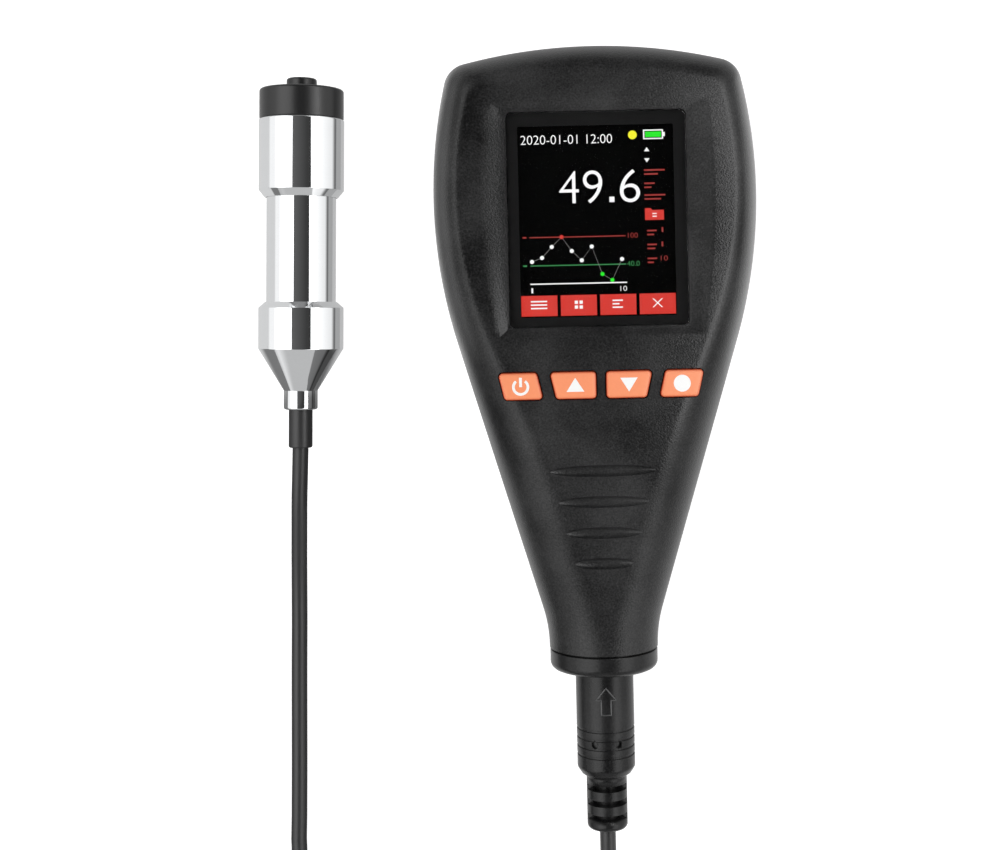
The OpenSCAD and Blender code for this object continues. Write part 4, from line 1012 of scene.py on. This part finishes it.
def key_cap(name, corners, side, body):
    rings = []
    for spread_out, z in key_levels:
        loop = rounded(grown(corners, spread_out), max(least_corner, key_corner + spread_out))
        rings.append([(side * p.x, p.y, z) for p in loop])
    points = [p for ring in rings for p in ring]
    faces = bands(len(rings), len(rings[0])) + lids(len(rings), len(rings[0]))
    piece = new_piece(name + "_cap", to_mesh(name, points, faces), key_rubber, body, name)
    return shaded(piece, 40)


key_caps = [
    key_cap("key_power", outer_corners, -1, "power_key"), key_cap("key_up", inner_corners, -1, "up_key"),
    key_cap("key_down", inner_corners, 1, "down_key"), key_cap("key_record", outer_corners, 1, "record_key"),
]
print("keys:", [k.name for k in key_caps])

# %% [markdown]
# ## Key symbols
# The keys carry plain printed signs: power, up, down and a dot. They are thin raised prints.

# %% Prints
def ring_arc(x, y, r, width, a0, a1, z0, z1, steps=36):
    turns = [math.radians(a0 + (a1 - a0) * k / steps) for k in range(steps + 1)]
    outer = [(x + (r + width / 2) * math.cos(t), y + (r + width / 2) * math.sin(t)) for t in turns]
    inner = [(x + (r - width / 2) * math.cos(t), y + (r - width / 2) * math.sin(t)) for t in reversed(turns)]
    return prism(outer + inner, z0, z1)


print_low, print_top = 30.1, 30.195
prints = {
    "power_key": [ring_arc(-16.7, -5.2, 1.5, 0.56, 128, 412, print_low, print_top),
                  bar(-17.0, -5.2, -16.4, -3.25, print_low, print_top)],
    "up_key": [prism([(-7.25, -6.4), (-3.55, -6.4), (-5.4, -3.5)], print_low, print_top)],
    "down_key": [prism([(3.9, -3.7), (5.7, -6.6), (7.5, -3.7)], print_low, print_top)],
    "record_key": [disc(16.7, -5.1, 1.75, print_low, print_top)],
}
for body, shapes in prints.items():
    new_piece(body + "_print", to_mesh(body + "_print", *joined(shapes)), key_print, body)
print("printed keys:", len(prints))

# %% [markdown]
# ## Lit display
# The display shows a reading, a small chart and coloured fields. Its marks glow, so they are emission.
# A shader group gives them the fine rows of a real panel, and one material is made for each colour.

# %% Lit colours
row_group, r_in, r_out = new_group(
    "panel_rows",
    [("Vector", "NodeSocketVector", None), ("Color", "NodeSocketColor", None),
     ("Pitch", "NodeSocketFloat", 5600.0)],
    [("Color", "NodeSocketColor")],
)
rows = row_group.nodes.new("ShaderNodeTexWave")
rows.bands_direction = "Y"
row_group.links.new(r_in.outputs["Vector"], rows.inputs["Vector"])
row_group.links.new(r_in.outputs["Pitch"], rows.inputs["Scale"])
dimmed = color_mix(row_group, rows.outputs["Fac"], r_in.outputs["Color"], (0.86, 0.86, 0.86), "MULTIPLY")
row_group.links.new(dimmed, r_out.inputs["Color"])


def lit(name, color):
    material, tree, coords = new_material(name)
    shader = tree.nodes["Principled BSDF"]
    shader.inputs["Base Color"].default_value = (0.004, 0.004, 0.004, 1)
    shader.inputs["Roughness"].default_value = 0.4
    shader.inputs["Emission Strength"].default_value = 1.0
    group = tree.nodes.new("ShaderNodeGroup")
    group.node_tree = row_group
    group.inputs["Color"].default_value = (*color, 1)
    tree.links.new(coords, group.inputs["Vector"])
    tree.links.new(group.outputs["Color"], shader.inputs["Emission Color"])
    return material


lit_white = lit("lit_white", (1.05, 1.05, 1.05))
lit_red = lit("lit_red", (0.7, 0.034, 0.023))
lit_dull_red = lit("lit_dull_red", (0.36, 0.03, 0.025))
lit_green = lit("lit_green", (0.012, 0.86, 0.014))
lit_dull_green = lit("lit_dull_green", (0.03, 0.26, 0.07))
lit_yellow = lit("lit_yellow", (0.98, 0.95, 0.02))
lit_grey = lit("lit_grey", (0.2, 0.2, 0.2))
print("lit colours:", len([m for m in bpy.data.materials if m.name.startswith("lit_")]))

# %% [markdown]
# Marks are placed on the panel's own grid of pixels, 0.18 mm apart, counted from its lower left corner.
# Numbers come from the built-in font, fitted to a box, and are made meshes before they are placed.

# %% Panel marks
panel_left, panel_low, pixel = -15.85, 9.2, 0.18
mark_low, mark_top, above = 25.72, 25.75, 0.04
thinner, font_half = -0.012, 0.5


def at_pixel(x, y):
    return panel_left + pixel * x, panel_low + pixel * y


def field(x0, y0, x1, y1, lift=0.0):
    return bar(*at_pixel(x0, y0), *at_pixel(x1, y1), mark_low + lift, mark_top + lift)


def fields(*boxes, lift=0.0):
    return [field(*box, lift) for box in boxes]


def shape(corners, lift=0.0):
    return prism([at_pixel(x, y) for x, y in corners], mark_low + lift, mark_top + lift)


def spot(x, y, r):
    return disc(*at_pixel(x, y), r * pixel, mark_low, mark_top)


def number(text, x0, y0, x1, y1):
    font = bpy.data.curves.new("number", "FONT")
    font.body = text
    font.extrude = font_half
    font.offset = thinner
    mesh = curve_mesh("number", font)
    xs, ys = [v.co.x for v in mesh.vertices], [v.co.y for v in mesh.vertices]
    left, low = at_pixel(x0, y0)
    right, top = at_pixel(x1, y1)
    points = [
        (left + (v.co.x - min(xs)) / (max(xs) - min(xs)) * (right - left),
         low + (v.co.y - min(ys)) / (max(ys) - min(ys)) * (top - low),
         mark_low + (v.co.z + font_half) * (mark_top - mark_low))
        for v in mesh.vertices
    ]
    return points, [list(p.vertices) for p in mesh.polygons]


print("pixel in mm:", pixel)

# %% [markdown]
# White marks are the clock line, the big reading, the battery, the chart's axis and the signs on the four
# fields. Red and green ones are the limits of the chart and short lines of small print.

# %% Marks by colour
marks = {
    lit_white: [
        number("2020-01-01 12:00", 1, 200.5, 107.5, 211), number("4", 44.8, 131.4, 67.6, 168.8),
        number("9", 72.6, 131, 95, 169), field(103, 131.8, 108.8, 138),
        number("6", 115.4, 131.2, 138.8, 169.4), number("1", 10, 27.6, 12, 33.4),
        number("10", 113.6, 28.2, 121.2, 34), shape([(144.4, 190), (150.6, 190), (147.5, 194.8)]),
        shape([(144.4, 181.8), (147.5, 177), (150.6, 181.8)]),
        *fields((143.7, 204, 167, 205.4), (143.7, 213.8, 167, 215.2), (143.7, 205.4, 145.2, 213.8),
                (165.5, 205.4, 167, 213.8), (167, 207.2, 169, 212), (9, 37.4, 121.4, 38.8)),
        *fields((9, 9, 28, 10.6), (9, 13, 28, 14.6), (9, 17, 28, 18.6), (60, 8.6, 63.8, 12.4),
                (65.6, 8.6, 69.4, 12.4), (60, 14.2, 63.8, 18), (65.6, 14.2, 69.4, 18),
                (104, 8.6, 116, 10.2), (104, 12.6, 112, 14.2), (104, 16.6, 116, 18.2), lift=above),
        shape([(150.4, 8.4), (152, 8.4), (162.6, 18.6), (161, 18.6)], above),
        shape([(161, 8.4), (162.6, 8.4), (152, 18.6), (150.4, 18.6)], above + above),
        *fields((152.6, 113.6, 157.6, 114.8), (152.6, 116.8, 157.6, 118), lift=above),
    ],
    lit_dull_red: [
        number("100", 123.6, 89.8, 135, 95.6), number("1", 163, 95.8, 164.8, 101.4),
        number("1", 162.6, 79, 164.4, 84.6), number("10", 161.4, 62.6, 169.4, 68.2),
        *fields((9.1, 91.7, 120.8, 92.9), (1, 91.5, 5.4, 93.3), (144, 167.2, 168, 169),
                (144, 162.6, 160, 164.4), (144, 151.8, 156, 153.6), (144, 147.2, 152, 149),
                (144, 138.2, 168, 140), (144, 133.6, 163, 135.4), (146, 96.8, 157, 98.6),
                (146, 92.2, 154, 94), (146, 80.6, 157, 82.4), (146, 76, 155, 77.8),
                (146, 64.4, 157, 66.2), (146, 59.8, 153, 61.6)),
    ],
    lit_dull_green: [
        number("40.0", 122, 57, 136.6, 62.8), *fields((9.5, 58.8, 120.7, 60), (1, 58.5, 5.4, 60.3)),
    ],
    lit_green: [field(146.2, 206.4, 164.5, 212.8)],
    lit_yellow: [spot(131.3, 209.4, 5.1)],
    lit_red: [shape([(144, 110), (166, 110), (166, 121.6), (152.4, 121.6), (150.6, 123.8), (144, 123.8)])],
}
for material, shapes in marks.items():
    name = material.name.replace("lit", "marks")
    new_piece(name, to_mesh(name, *joined(shapes)), material, "housing")
print("mark pieces:", len(marks))

# %% [markdown]
# ## Chart and fields by Geometry Nodes
# A chart repeats one dot along its readings and joins them with a thin line, and four equal fields
# stand in a row below it. These follow a rule, so small node trees with named sizes make them.

# %% Node tree tools
def new_tree(name, inputs):
    form = ("Geometry", "NodeSocketGeometry")
    return new_group(name, [(*form, None), *inputs, ("Finish", "NodeSocketMaterial", None)], [form],
                     "GeometryNodeTree")


def close_tree(tree, source, start, end):
    realize = tree.nodes.new("GeometryNodeRealizeInstances")
    paint = tree.nodes.new("GeometryNodeSetMaterial")
    tree.links.new(source, realize.inputs["Geometry"])
    tree.links.new(realize.outputs["Geometry"], paint.inputs["Geometry"])
    tree.links.new(start.outputs["Finish"], paint.inputs["Material"])
    tree.links.new(paint.outputs["Geometry"], end.inputs["Geometry"])


def repeat(tree, form, start, end):
    spread = tree.nodes.new("GeometryNodeInstanceOnPoints")
    tree.links.new(start.outputs["Geometry"], spread.inputs["Points"])
    tree.links.new(form, spread.inputs["Instance"])
    close_tree(tree, spread.outputs["Instances"], start, end)


def grow(name, tree, points, edges, values, body, slot):
    mesh = bpy.data.meshes.new(name)
    mesh.from_pydata([Vector(p) * mm for p in points], edges, [])
    piece = linked(name, mesh)
    modifier = piece.modifiers.new(tree.name, "NODES")
    modifier.node_group = tree
    for item in tree.interface.items_tree:
        if item.in_out == "INPUT" and item.name in values:
            modifier[item.identifier] = values[item.name]
    baked(piece)
    return settle(piece, body)


print("tree tools ready")

# %% Dots, trace and fields
dots, d_in, d_out = new_tree("marker_dots", [
    ("Dot Radius", "NodeSocketFloat", 0.3 * mm), ("Dot Height", "NodeSocketFloat", 0.03 * mm)])
dot = dots.nodes.new("GeometryNodeMeshCylinder")
dot.inputs["Vertices"].default_value = 28
dots.links.new(d_in.outputs["Dot Radius"], dot.inputs["Radius"])
dots.links.new(d_in.outputs["Dot Height"], dot.inputs["Depth"])
repeat(dots, dot.outputs["Mesh"], d_in, d_out)

trace, t_in, t_out = new_tree("trace_line", [("Line Radius", "NodeSocketFloat", 0.05 * mm)])
as_curve = trace.nodes.new("GeometryNodeMeshToCurve")
section = trace.nodes.new("GeometryNodeCurvePrimitiveCircle")
section.inputs["Resolution"].default_value = 6
sweep = trace.nodes.new("GeometryNodeCurveToMesh")
sweep.inputs["Fill Caps"].default_value = True
trace.links.new(t_in.outputs["Geometry"], as_curve.inputs["Mesh"])
trace.links.new(t_in.outputs["Line Radius"], section.inputs["Radius"])
trace.links.new(as_curve.outputs["Curve"], sweep.inputs["Curve"])
trace.links.new(section.outputs["Curve"], sweep.inputs["Profile Curve"])
close_tree(trace, sweep.outputs["Mesh"], t_in, t_out)

blocks, b_in, b_out = new_tree("field_row", [
    ("Field Size", "NodeSocketVector", (7.5 * mm, 4.3 * mm, 0.03 * mm))])
block = blocks.nodes.new("GeometryNodeMeshCube")
blocks.links.new(b_in.outputs["Field Size"], block.inputs["Size"])
repeat(blocks, block.outputs["Mesh"], b_in, b_out)
print("trees:", dots.name, trace.name, blocks.name)

# %% Chart
readings = [(11.4, 64.1), (23.1, 68.5), (34.7, 81.1), (46.3, 92.4), (57.9, 75.9), (69.3, 64.8),
            (81.2, 80.6), (93, 48.4), (104.4, 41.1), (116.1, 65.3)]
dot_z, trace_z, row_z = 25.79, 25.76, 25.735
dot_r, trace_r, field_size = 2.4 * pixel * mm, 0.05 * mm, (42 * pixel * mm, 24 * pixel * mm, 0.03 * mm)
row_first, row_pitch, row_up = 18.9, 45.9, 12.6
spots = [at_pixel(x, y) for x, y in readings]
dot_sets = [("dots_plain", (0, 1, 2, 4, 5, 6, 9), lit_white), ("dots_high", (3,), lit_red),
            ("dots_low", (7, 8), lit_green)]
for name, picks, color in dot_sets:
    grow(name, dots, [(*spots[i], dot_z) for i in picks], [], {"Dot Radius": dot_r, "Finish": color},
         "housing", "display")
grow("chart_trace", trace, [(*spot_xy, trace_z) for spot_xy in spots],
     [(i, i + 1) for i in range(len(spots) - 1)], {"Line Radius": trace_r, "Finish": lit_grey},
     "housing", "display")
row_places = [(*at_pixel(row_first + row_pitch * k, row_up), row_z) for k in range(4)]
grow("soft_key_fields", blocks, row_places, [], {"Field Size": field_size, "Finish": lit_red},
     "housing", "display")
print("readings drawn:", len(readings))

# %% [markdown]
# ## Window
# A clear pane closes the display. Its border is printed on the back in a dark grey, with a clear field
# in the middle. The print is a thin frame just inside the pane's lower face.

# %% Window border
def frame_plate(outer, inner, z0, z1):
    points = [(x, y, z) for z in (z0, z1) for loop in (outer, inner) for x, y in loop]
    count = len(outer)
    faces = []
    for i in range(count):
        n = (i + 1) % count
        low, top, low_in, top_in = i, 2 * count + i, count + i, 3 * count + i
        step = n - i
        faces += [[low, low + step, low_in + step, low_in], [top, top_in, top_in + step, top + step],
                  [low, top, top + step, low + step], [low_in, low_in + step, top_in + step, top_in]]
    return points, faces


border_low, border_top = pane_z + 0.02, pane_z + 0.06
outer_loop = rounded_box(-18.6, 7.1, 18.6, 51.7, 1.1)
inner_loop = rounded_box(-16.3, 9.05, 16.2, 48.95, 0.3)
border_mesh = to_mesh("window_border", *frame_plate(outer_loop, inner_loop, border_low, border_top))
border = new_piece("window_border", border_mesh, mask_print, "housing")
pane = soft_edges(new_piece("window_pane", merged_copy("display_window"), window_glass,
                            "housing", "display_window"), 0.12, 50)
print("border faces:", len(border.data.polygons), "and pane faces:", len(pane.data.polygons))

# %% [markdown]
# ## Screws
# Four case screws hold the back. One detailed screw is repeated on the screw places by a node tree, which
# keeps all of them alike.

# %% Screws
cross_half, cross_share, screw_steps = 0.24, 0.55, 32


def screw_mesh(name, d, length):
    head_r, head_h, r = d * 0.9, d * 0.6, d / 2
    profile = filleted([(0, -head_h, 0), (head_r, -head_h, 0.3), (head_r, 0, 0.1), (r, 0, 0),
                        (r, length, 0.3), (0, length, 0)], 3)
    points = []
    for k in range(screw_steps):
        a = 2 * math.pi * k / screw_steps
        points += [(p.x * math.cos(a), p.x * math.sin(a), p.y) for p in profile]
    count, faces = len(profile), []
    for k in range(screw_steps):
        a, b = k * count, (k + 1) % screw_steps * count
        faces += [[a + i, b + i, b + i + 1, a + i + 1] for i in range(count - 1)]
    piece = linked(name, to_mesh(name, points, faces))
    arm = head_r * cross_share
    worked(piece, "DIFFERENCE", [bar(-arm, -cross_half, arm, cross_half, -head_h - 0.3, -head_h * 0.45)])
    worked(piece, "DIFFERENCE", [bar(-cross_half, -arm, cross_half, arm, -head_h - 0.2, -head_h * 0.47)])
    return shaded(piece)


print("screw model ready")

# %% Screw places
case_d, case_l, case_z = 2.6, 13, 5.5
screws, s_in, s_out = new_tree("screw_places", [("Screw", "NodeSocketObject", None)])
pick = screws.nodes.new("GeometryNodeObjectInfo")
screws.links.new(s_in.outputs["Screw"], pick.inputs["Object"])
repeat(screws, pick.outputs["Geometry"], s_in, s_out)


def screw_set(node, d, length, places):
    model = screw_mesh(node + "_model", d, length)
    values = {"Screw": model, "Finish": screw_steel}
    piece = grow(node + "_set", screws, places, [], values, "housing", "steel")
    bpy.data.objects.remove(model)
    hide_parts(node)
    return piece


screw_places = [(s * x, y, case_z) for x, y, _ in case_places for s in (1, -1)]
case_set = screw_set("case_screws", case_d, case_l, screw_places)
print("screw faces:", len(case_set.data.polygons))

# %% [markdown]
# ## Inner pieces and the tie
# The rest of the solids are inside the shells or the plug and keep their own meshes.
# They still get real finishes, because a cut-away or an opened cover shows them.

# %% Other finishes
inner_finishes = {
    "display_module": dark_panel, "main_board": solder_mask, "socket_ribbon": solder_mask,
    "keypad_mat": mat_rubber, "contact_domes": turned_steel, "beeper": soft_black,
    "cover_screw": screw_steel, "board_screws": screw_steel, "battery_cells": cell_wrap,
    "battery_springs": screw_steel, "battery_plates": screw_steel, "lead_socket": soft_black,
    "plug_tube": turned_steel, "plug_pins": contact_brass, "guide_bush": contact_brass,
    "sensor_core": turned_steel, "sensor_winding": copper_wire, "coil_tie": tie_rubber,
}
for node, material in inner_finishes.items():
    nodes[node].data.materials.clear()
    nodes[node].data.materials.append(material)
print("inner nodes finished:", len(inner_finishes))

# %% [markdown]
# ## Table and light
# A wide pale table carries everything. For the camera it adds a little light of its own, so it shows
# white there, and its diffuse part keeps the shadow. In reflections it is greyer, a painted shade, and it
# glows with painted light whose level is set by place, from the probe's side to the unit's.

# %% Table
table_half, table_drop = 2500, 0.05
table_corners = [(-table_half, -table_half), (table_half, -table_half), (table_half, table_half),
                 (-table_half, table_half)]
table_mesh = to_mesh("table", [(x, y, -table_drop) for x, y in table_corners], [[0, 1, 2, 3]], outward=False)
table = linked("table", table_mesh)
print("table side in m:", 2 * table_half * mm)

# %% Table finish
cloth_tone, mirror_painted_shade, camera_glow = 0.5, 0.38, 0.86


def bare_material(name):
    material, tree, coords = new_material(name)
    tree.nodes.remove(tree.nodes["Principled BSDF"])
    axes = tree.nodes.new("ShaderNodeSeparateXYZ")
    tree.links.new(coords, axes.inputs["Vector"])
    return material, tree, axes.outputs, tree.nodes["Material Output"].inputs["Surface"]


table_finish, tree, (across, along, _), table_surface = bare_material("table_white")
path = tree.nodes.new("ShaderNodeLightPath")
to_camera, to_mirror = path.outputs["Is Camera Ray"], path.outputs["Is Glossy Ray"]
cloth = tree.nodes.new("ShaderNodeBsdfDiffuse")
# painted shade: the table's diffuse colour is darker for mirror rays
cloth_level = math_node(tree, "SUBTRACT", cloth_tone, math_node(tree, "MULTIPLY", to_mirror, mirror_painted_shade))
tree.links.new(cloth_level, cloth.inputs["Color"])
# Painted light and shade for reflections only: the table's glow in mirrors is set by its place.
probe_side_painted_light = math_node(tree, "MULTIPLY", ranged(tree, across, -85 * mm, -45 * mm, 0.62, 0.5),
                       ranged(tree, along, -12 * mm, 2 * mm, 0.15, 1.0))
unit_side_painted_light = math_node(tree, "MULTIPLY", ranged(tree, across, -44 * mm, -38 * mm, 0.0, 0.8),
                      ranged(tree, along, 64 * mm, 74 * mm, 1.0, 0.0))
for_camera = math_node(tree, "MULTIPLY", to_camera, camera_glow)
for_mirror = math_node(tree, "MULTIPLY", to_mirror, math_node(tree, "ADD", probe_side_painted_light, unit_side_painted_light))
glow = tree.nodes.new("ShaderNodeEmission")
tree.links.new(math_node(tree, "ADD", for_camera, for_mirror), glow.inputs["Strength"])
both = tree.nodes.new("ShaderNodeAddShader")
tree.links.new(cloth.outputs[0], both.inputs[0])
tree.links.new(glow.outputs[0], both.inputs[1])
tree.links.new(both.outputs[0], table_surface)
table_mesh.materials.append(table_finish)
print("table nodes:", len(tree.nodes))

# %% [markdown]
# The room is a light tent: two bright side walls, dimmer ends and a dark hood overhead, where the camera is.
# The plated probe mirrors it: a dark middle band, white flanks and a grey table at its edges.
# A world has no walls to model, so each level follows the direction in which a ray leaves.

# %% Room directions
world = bpy.data.worlds.new("room")
bpy.context.scene.world = world
world.use_nodes = True
room = world.node_tree
room.nodes.clear()
room_out = room.nodes.new("ShaderNodeOutputWorld")
direction = room.nodes.new("ShaderNodeTexCoord")
room_axes = room.nodes.new("ShaderNodeSeparateXYZ")
room.links.new(direction.outputs["Generated"], room_axes.inputs["Vector"])
x_axis, y_axis, z_axis = room_axes.outputs


def blend_of(share, a, b):
    rest = math_node(room, "SUBTRACT", 1.0, share)
    return math_node(room, "ADD", math_node(room, "MULTIPLY", rest, a), math_node(room, "MULTIPLY", share, b))


hood_lean, no_zero = (0.165, 0.986), 0.001
flat_square = math_node(room, "ADD", math_node(room, "MULTIPLY", x_axis, x_axis),
                        math_node(room, "MULTIPLY", y_axis, y_axis))
flat_reach = math_node(room, "POWER", flat_square, 0.5)
sideways = math_node(room, "DIVIDE", math_node(room, "ABSOLUTE", x_axis, 0.0),
                     math_node(room, "ADD", flat_reach, no_zero))
overhead = math_node(room, "ADD", math_node(room, "MULTIPLY", x_axis, hood_lean[0]),
                     math_node(room, "MULTIPLY", z_axis, hood_lean[1]))
print("direction nodes:", len(room.nodes))

# %% Room levels
side_rise, left_wall, right_wall = (0.35, 0.65), (1.35, 3.1), (1.25, 3.0)
end_wall, end_fall, skirting_tones, hood_tones = (0.7, 0.38), (1.0, 0.25), (0.7, 0.16), (0.12, 0.05)
left_level = ranged(room, z_axis, *side_rise, *left_wall)
right_level = ranged(room, z_axis, *side_rise, *right_wall)
side_level = blend_of(ranged(room, x_axis, -0.1, 0.1), left_level, right_level)
end_level = math_node(room, "MULTIPLY", ranged(room, y_axis, -0.2, 0.2, *end_wall),
                      ranged(room, z_axis, 0.55, 0.8, *end_fall))
wall_level = blend_of(ranged(room, sideways, 0.45, 0.8), end_level, side_level)
skirting = ranged(room, x_axis, -0.4, 0.4, *skirting_tones)
horizon = blend_of(ranged(room, z_axis, 0.0, 0.13), skirting, 1.0)
hood = ranged(room, overhead, 0.886, 0.91)
hood_level = ranged(room, x_axis, -0.25, 0.4, *hood_tones)
level = blend_of(hood, math_node(room, "MULTIPLY", wall_level, horizon), hood_level)
light = room.nodes.new("ShaderNodeBackground")
plain = room.nodes.new("ShaderNodeBackground")
plain.inputs["Color"].default_value = (1, 1, 1, 1)
room_path = room.nodes.new("ShaderNodeLightPath")
room_mix = room.nodes.new("ShaderNodeMixShader")
room.links.new(level, light.inputs["Strength"])
room.links.new(room_path.outputs["Is Camera Ray"], room_mix.inputs[0])
room.links.new(light.outputs[0], room_mix.inputs[1])
room.links.new(plain.outputs[0], room_mix.inputs[2])
room.links.new(room_mix.outputs[0], room_out.inputs["Surface"])
bpy.context.scene.view_settings.view_transform = "Standard"
print("room nodes:", len(room.nodes))

# %% [markdown]
# Three cards are seen in reflections only, as in a photo studio. A low white one between probe and unit
# lights the probe's right edge. A dark sheet over the same gap continues the hood for the screen recess,
# whose right wall would otherwise mirror the bright left side of the tent. A white strip over the unit's
# right edge is mirrored by the land beside the recess, and shows where the recess ends.

# %% Reflection cards
def mirror_card(name, finish_name, corners):
    mesh = to_mesh(name, corners, [[0, 1, 2, 3]], outward=False)
    board = linked(name, mesh)
    board.visible_camera = board.visible_diffuse = False
    board.visible_shadow = board.visible_transmission = False
    material, tree, axes, surface = bare_material(finish_name)
    glow = tree.nodes.new("ShaderNodeEmission")
    tree.links.new(glow.outputs[0], surface)
    mesh.materials.append(material)
    return tree, axes, glow


card_x, card_top, card_ends = -46.0, 24.0, (-40.0, 78.0)
card_stops = [(0.0, 0.42), (0.35, 0.42), (0.385, 0.16), (0.4375, 0.2), (0.5425, 0.95), (1.0, 1.25)]
card_tree, card_axes, card_glow = mirror_card("card", "card_white", [
    (card_x, card_ends[0], 0), (card_x, card_ends[1], 0), (card_x, card_ends[1], card_top),
    (card_x, card_ends[0], card_top)])
card_ramp = card_tree.nodes.new("ShaderNodeValToRGB")
for k, (place, strength) in enumerate(card_stops):
    stop = card_ramp.color_ramp.elements[k] if k < 2 else card_ramp.color_ramp.elements.new(place)
    stop.position = place
    stop.color = (strength, strength, strength, 1)
card_share = math_node(card_tree, "DIVIDE", card_axes["Z"], card_top * mm)
card_tree.links.new(card_share, card_ramp.inputs["Fac"])
card_tree.links.new(card_ramp.outputs["Color"], card_glow.inputs["Color"])
card_near = ranged(card_tree, card_axes["Y"], -10 * mm, 0.0, 0.17, 1.0)
card_tree.links.new(card_near, card_glow.inputs["Strength"])
print("card height in mm:", card_top)

# %% Dark sheet and white strip
hang_z, strip_strength = 100.0, 6.0
sheet_corners = [(-85, -15, hang_z), (-15, -15, hang_z), (-15, 75, hang_z), (-85, 75, hang_z)]
strip_corners = [(38, -45, hang_z), (72, -45, hang_z), (72, 85, hang_z), (38, 85, hang_z)]
sheet_tree, sheet_axes, sheet_glow = mirror_card("sheet", "sheet_dark", sheet_corners)
sheet_level = ranged(sheet_tree, sheet_axes["X"], -80 * mm, -25 * mm, 0.118, 0.05, shape="LINEAR")
sheet_tree.links.new(sheet_level, sheet_glow.inputs["Strength"])
strip_glow = mirror_card("strip", "strip_white", strip_corners)[2]
strip_glow.inputs["Strength"].default_value = strip_strength
print("cards hang at mm:", hang_z)

# %% [markdown]
# ## Last update
# The dressed part stays in the box of its solids. The view layer is updated once more.

# %% Finish
bpy.context.view_layer.update()
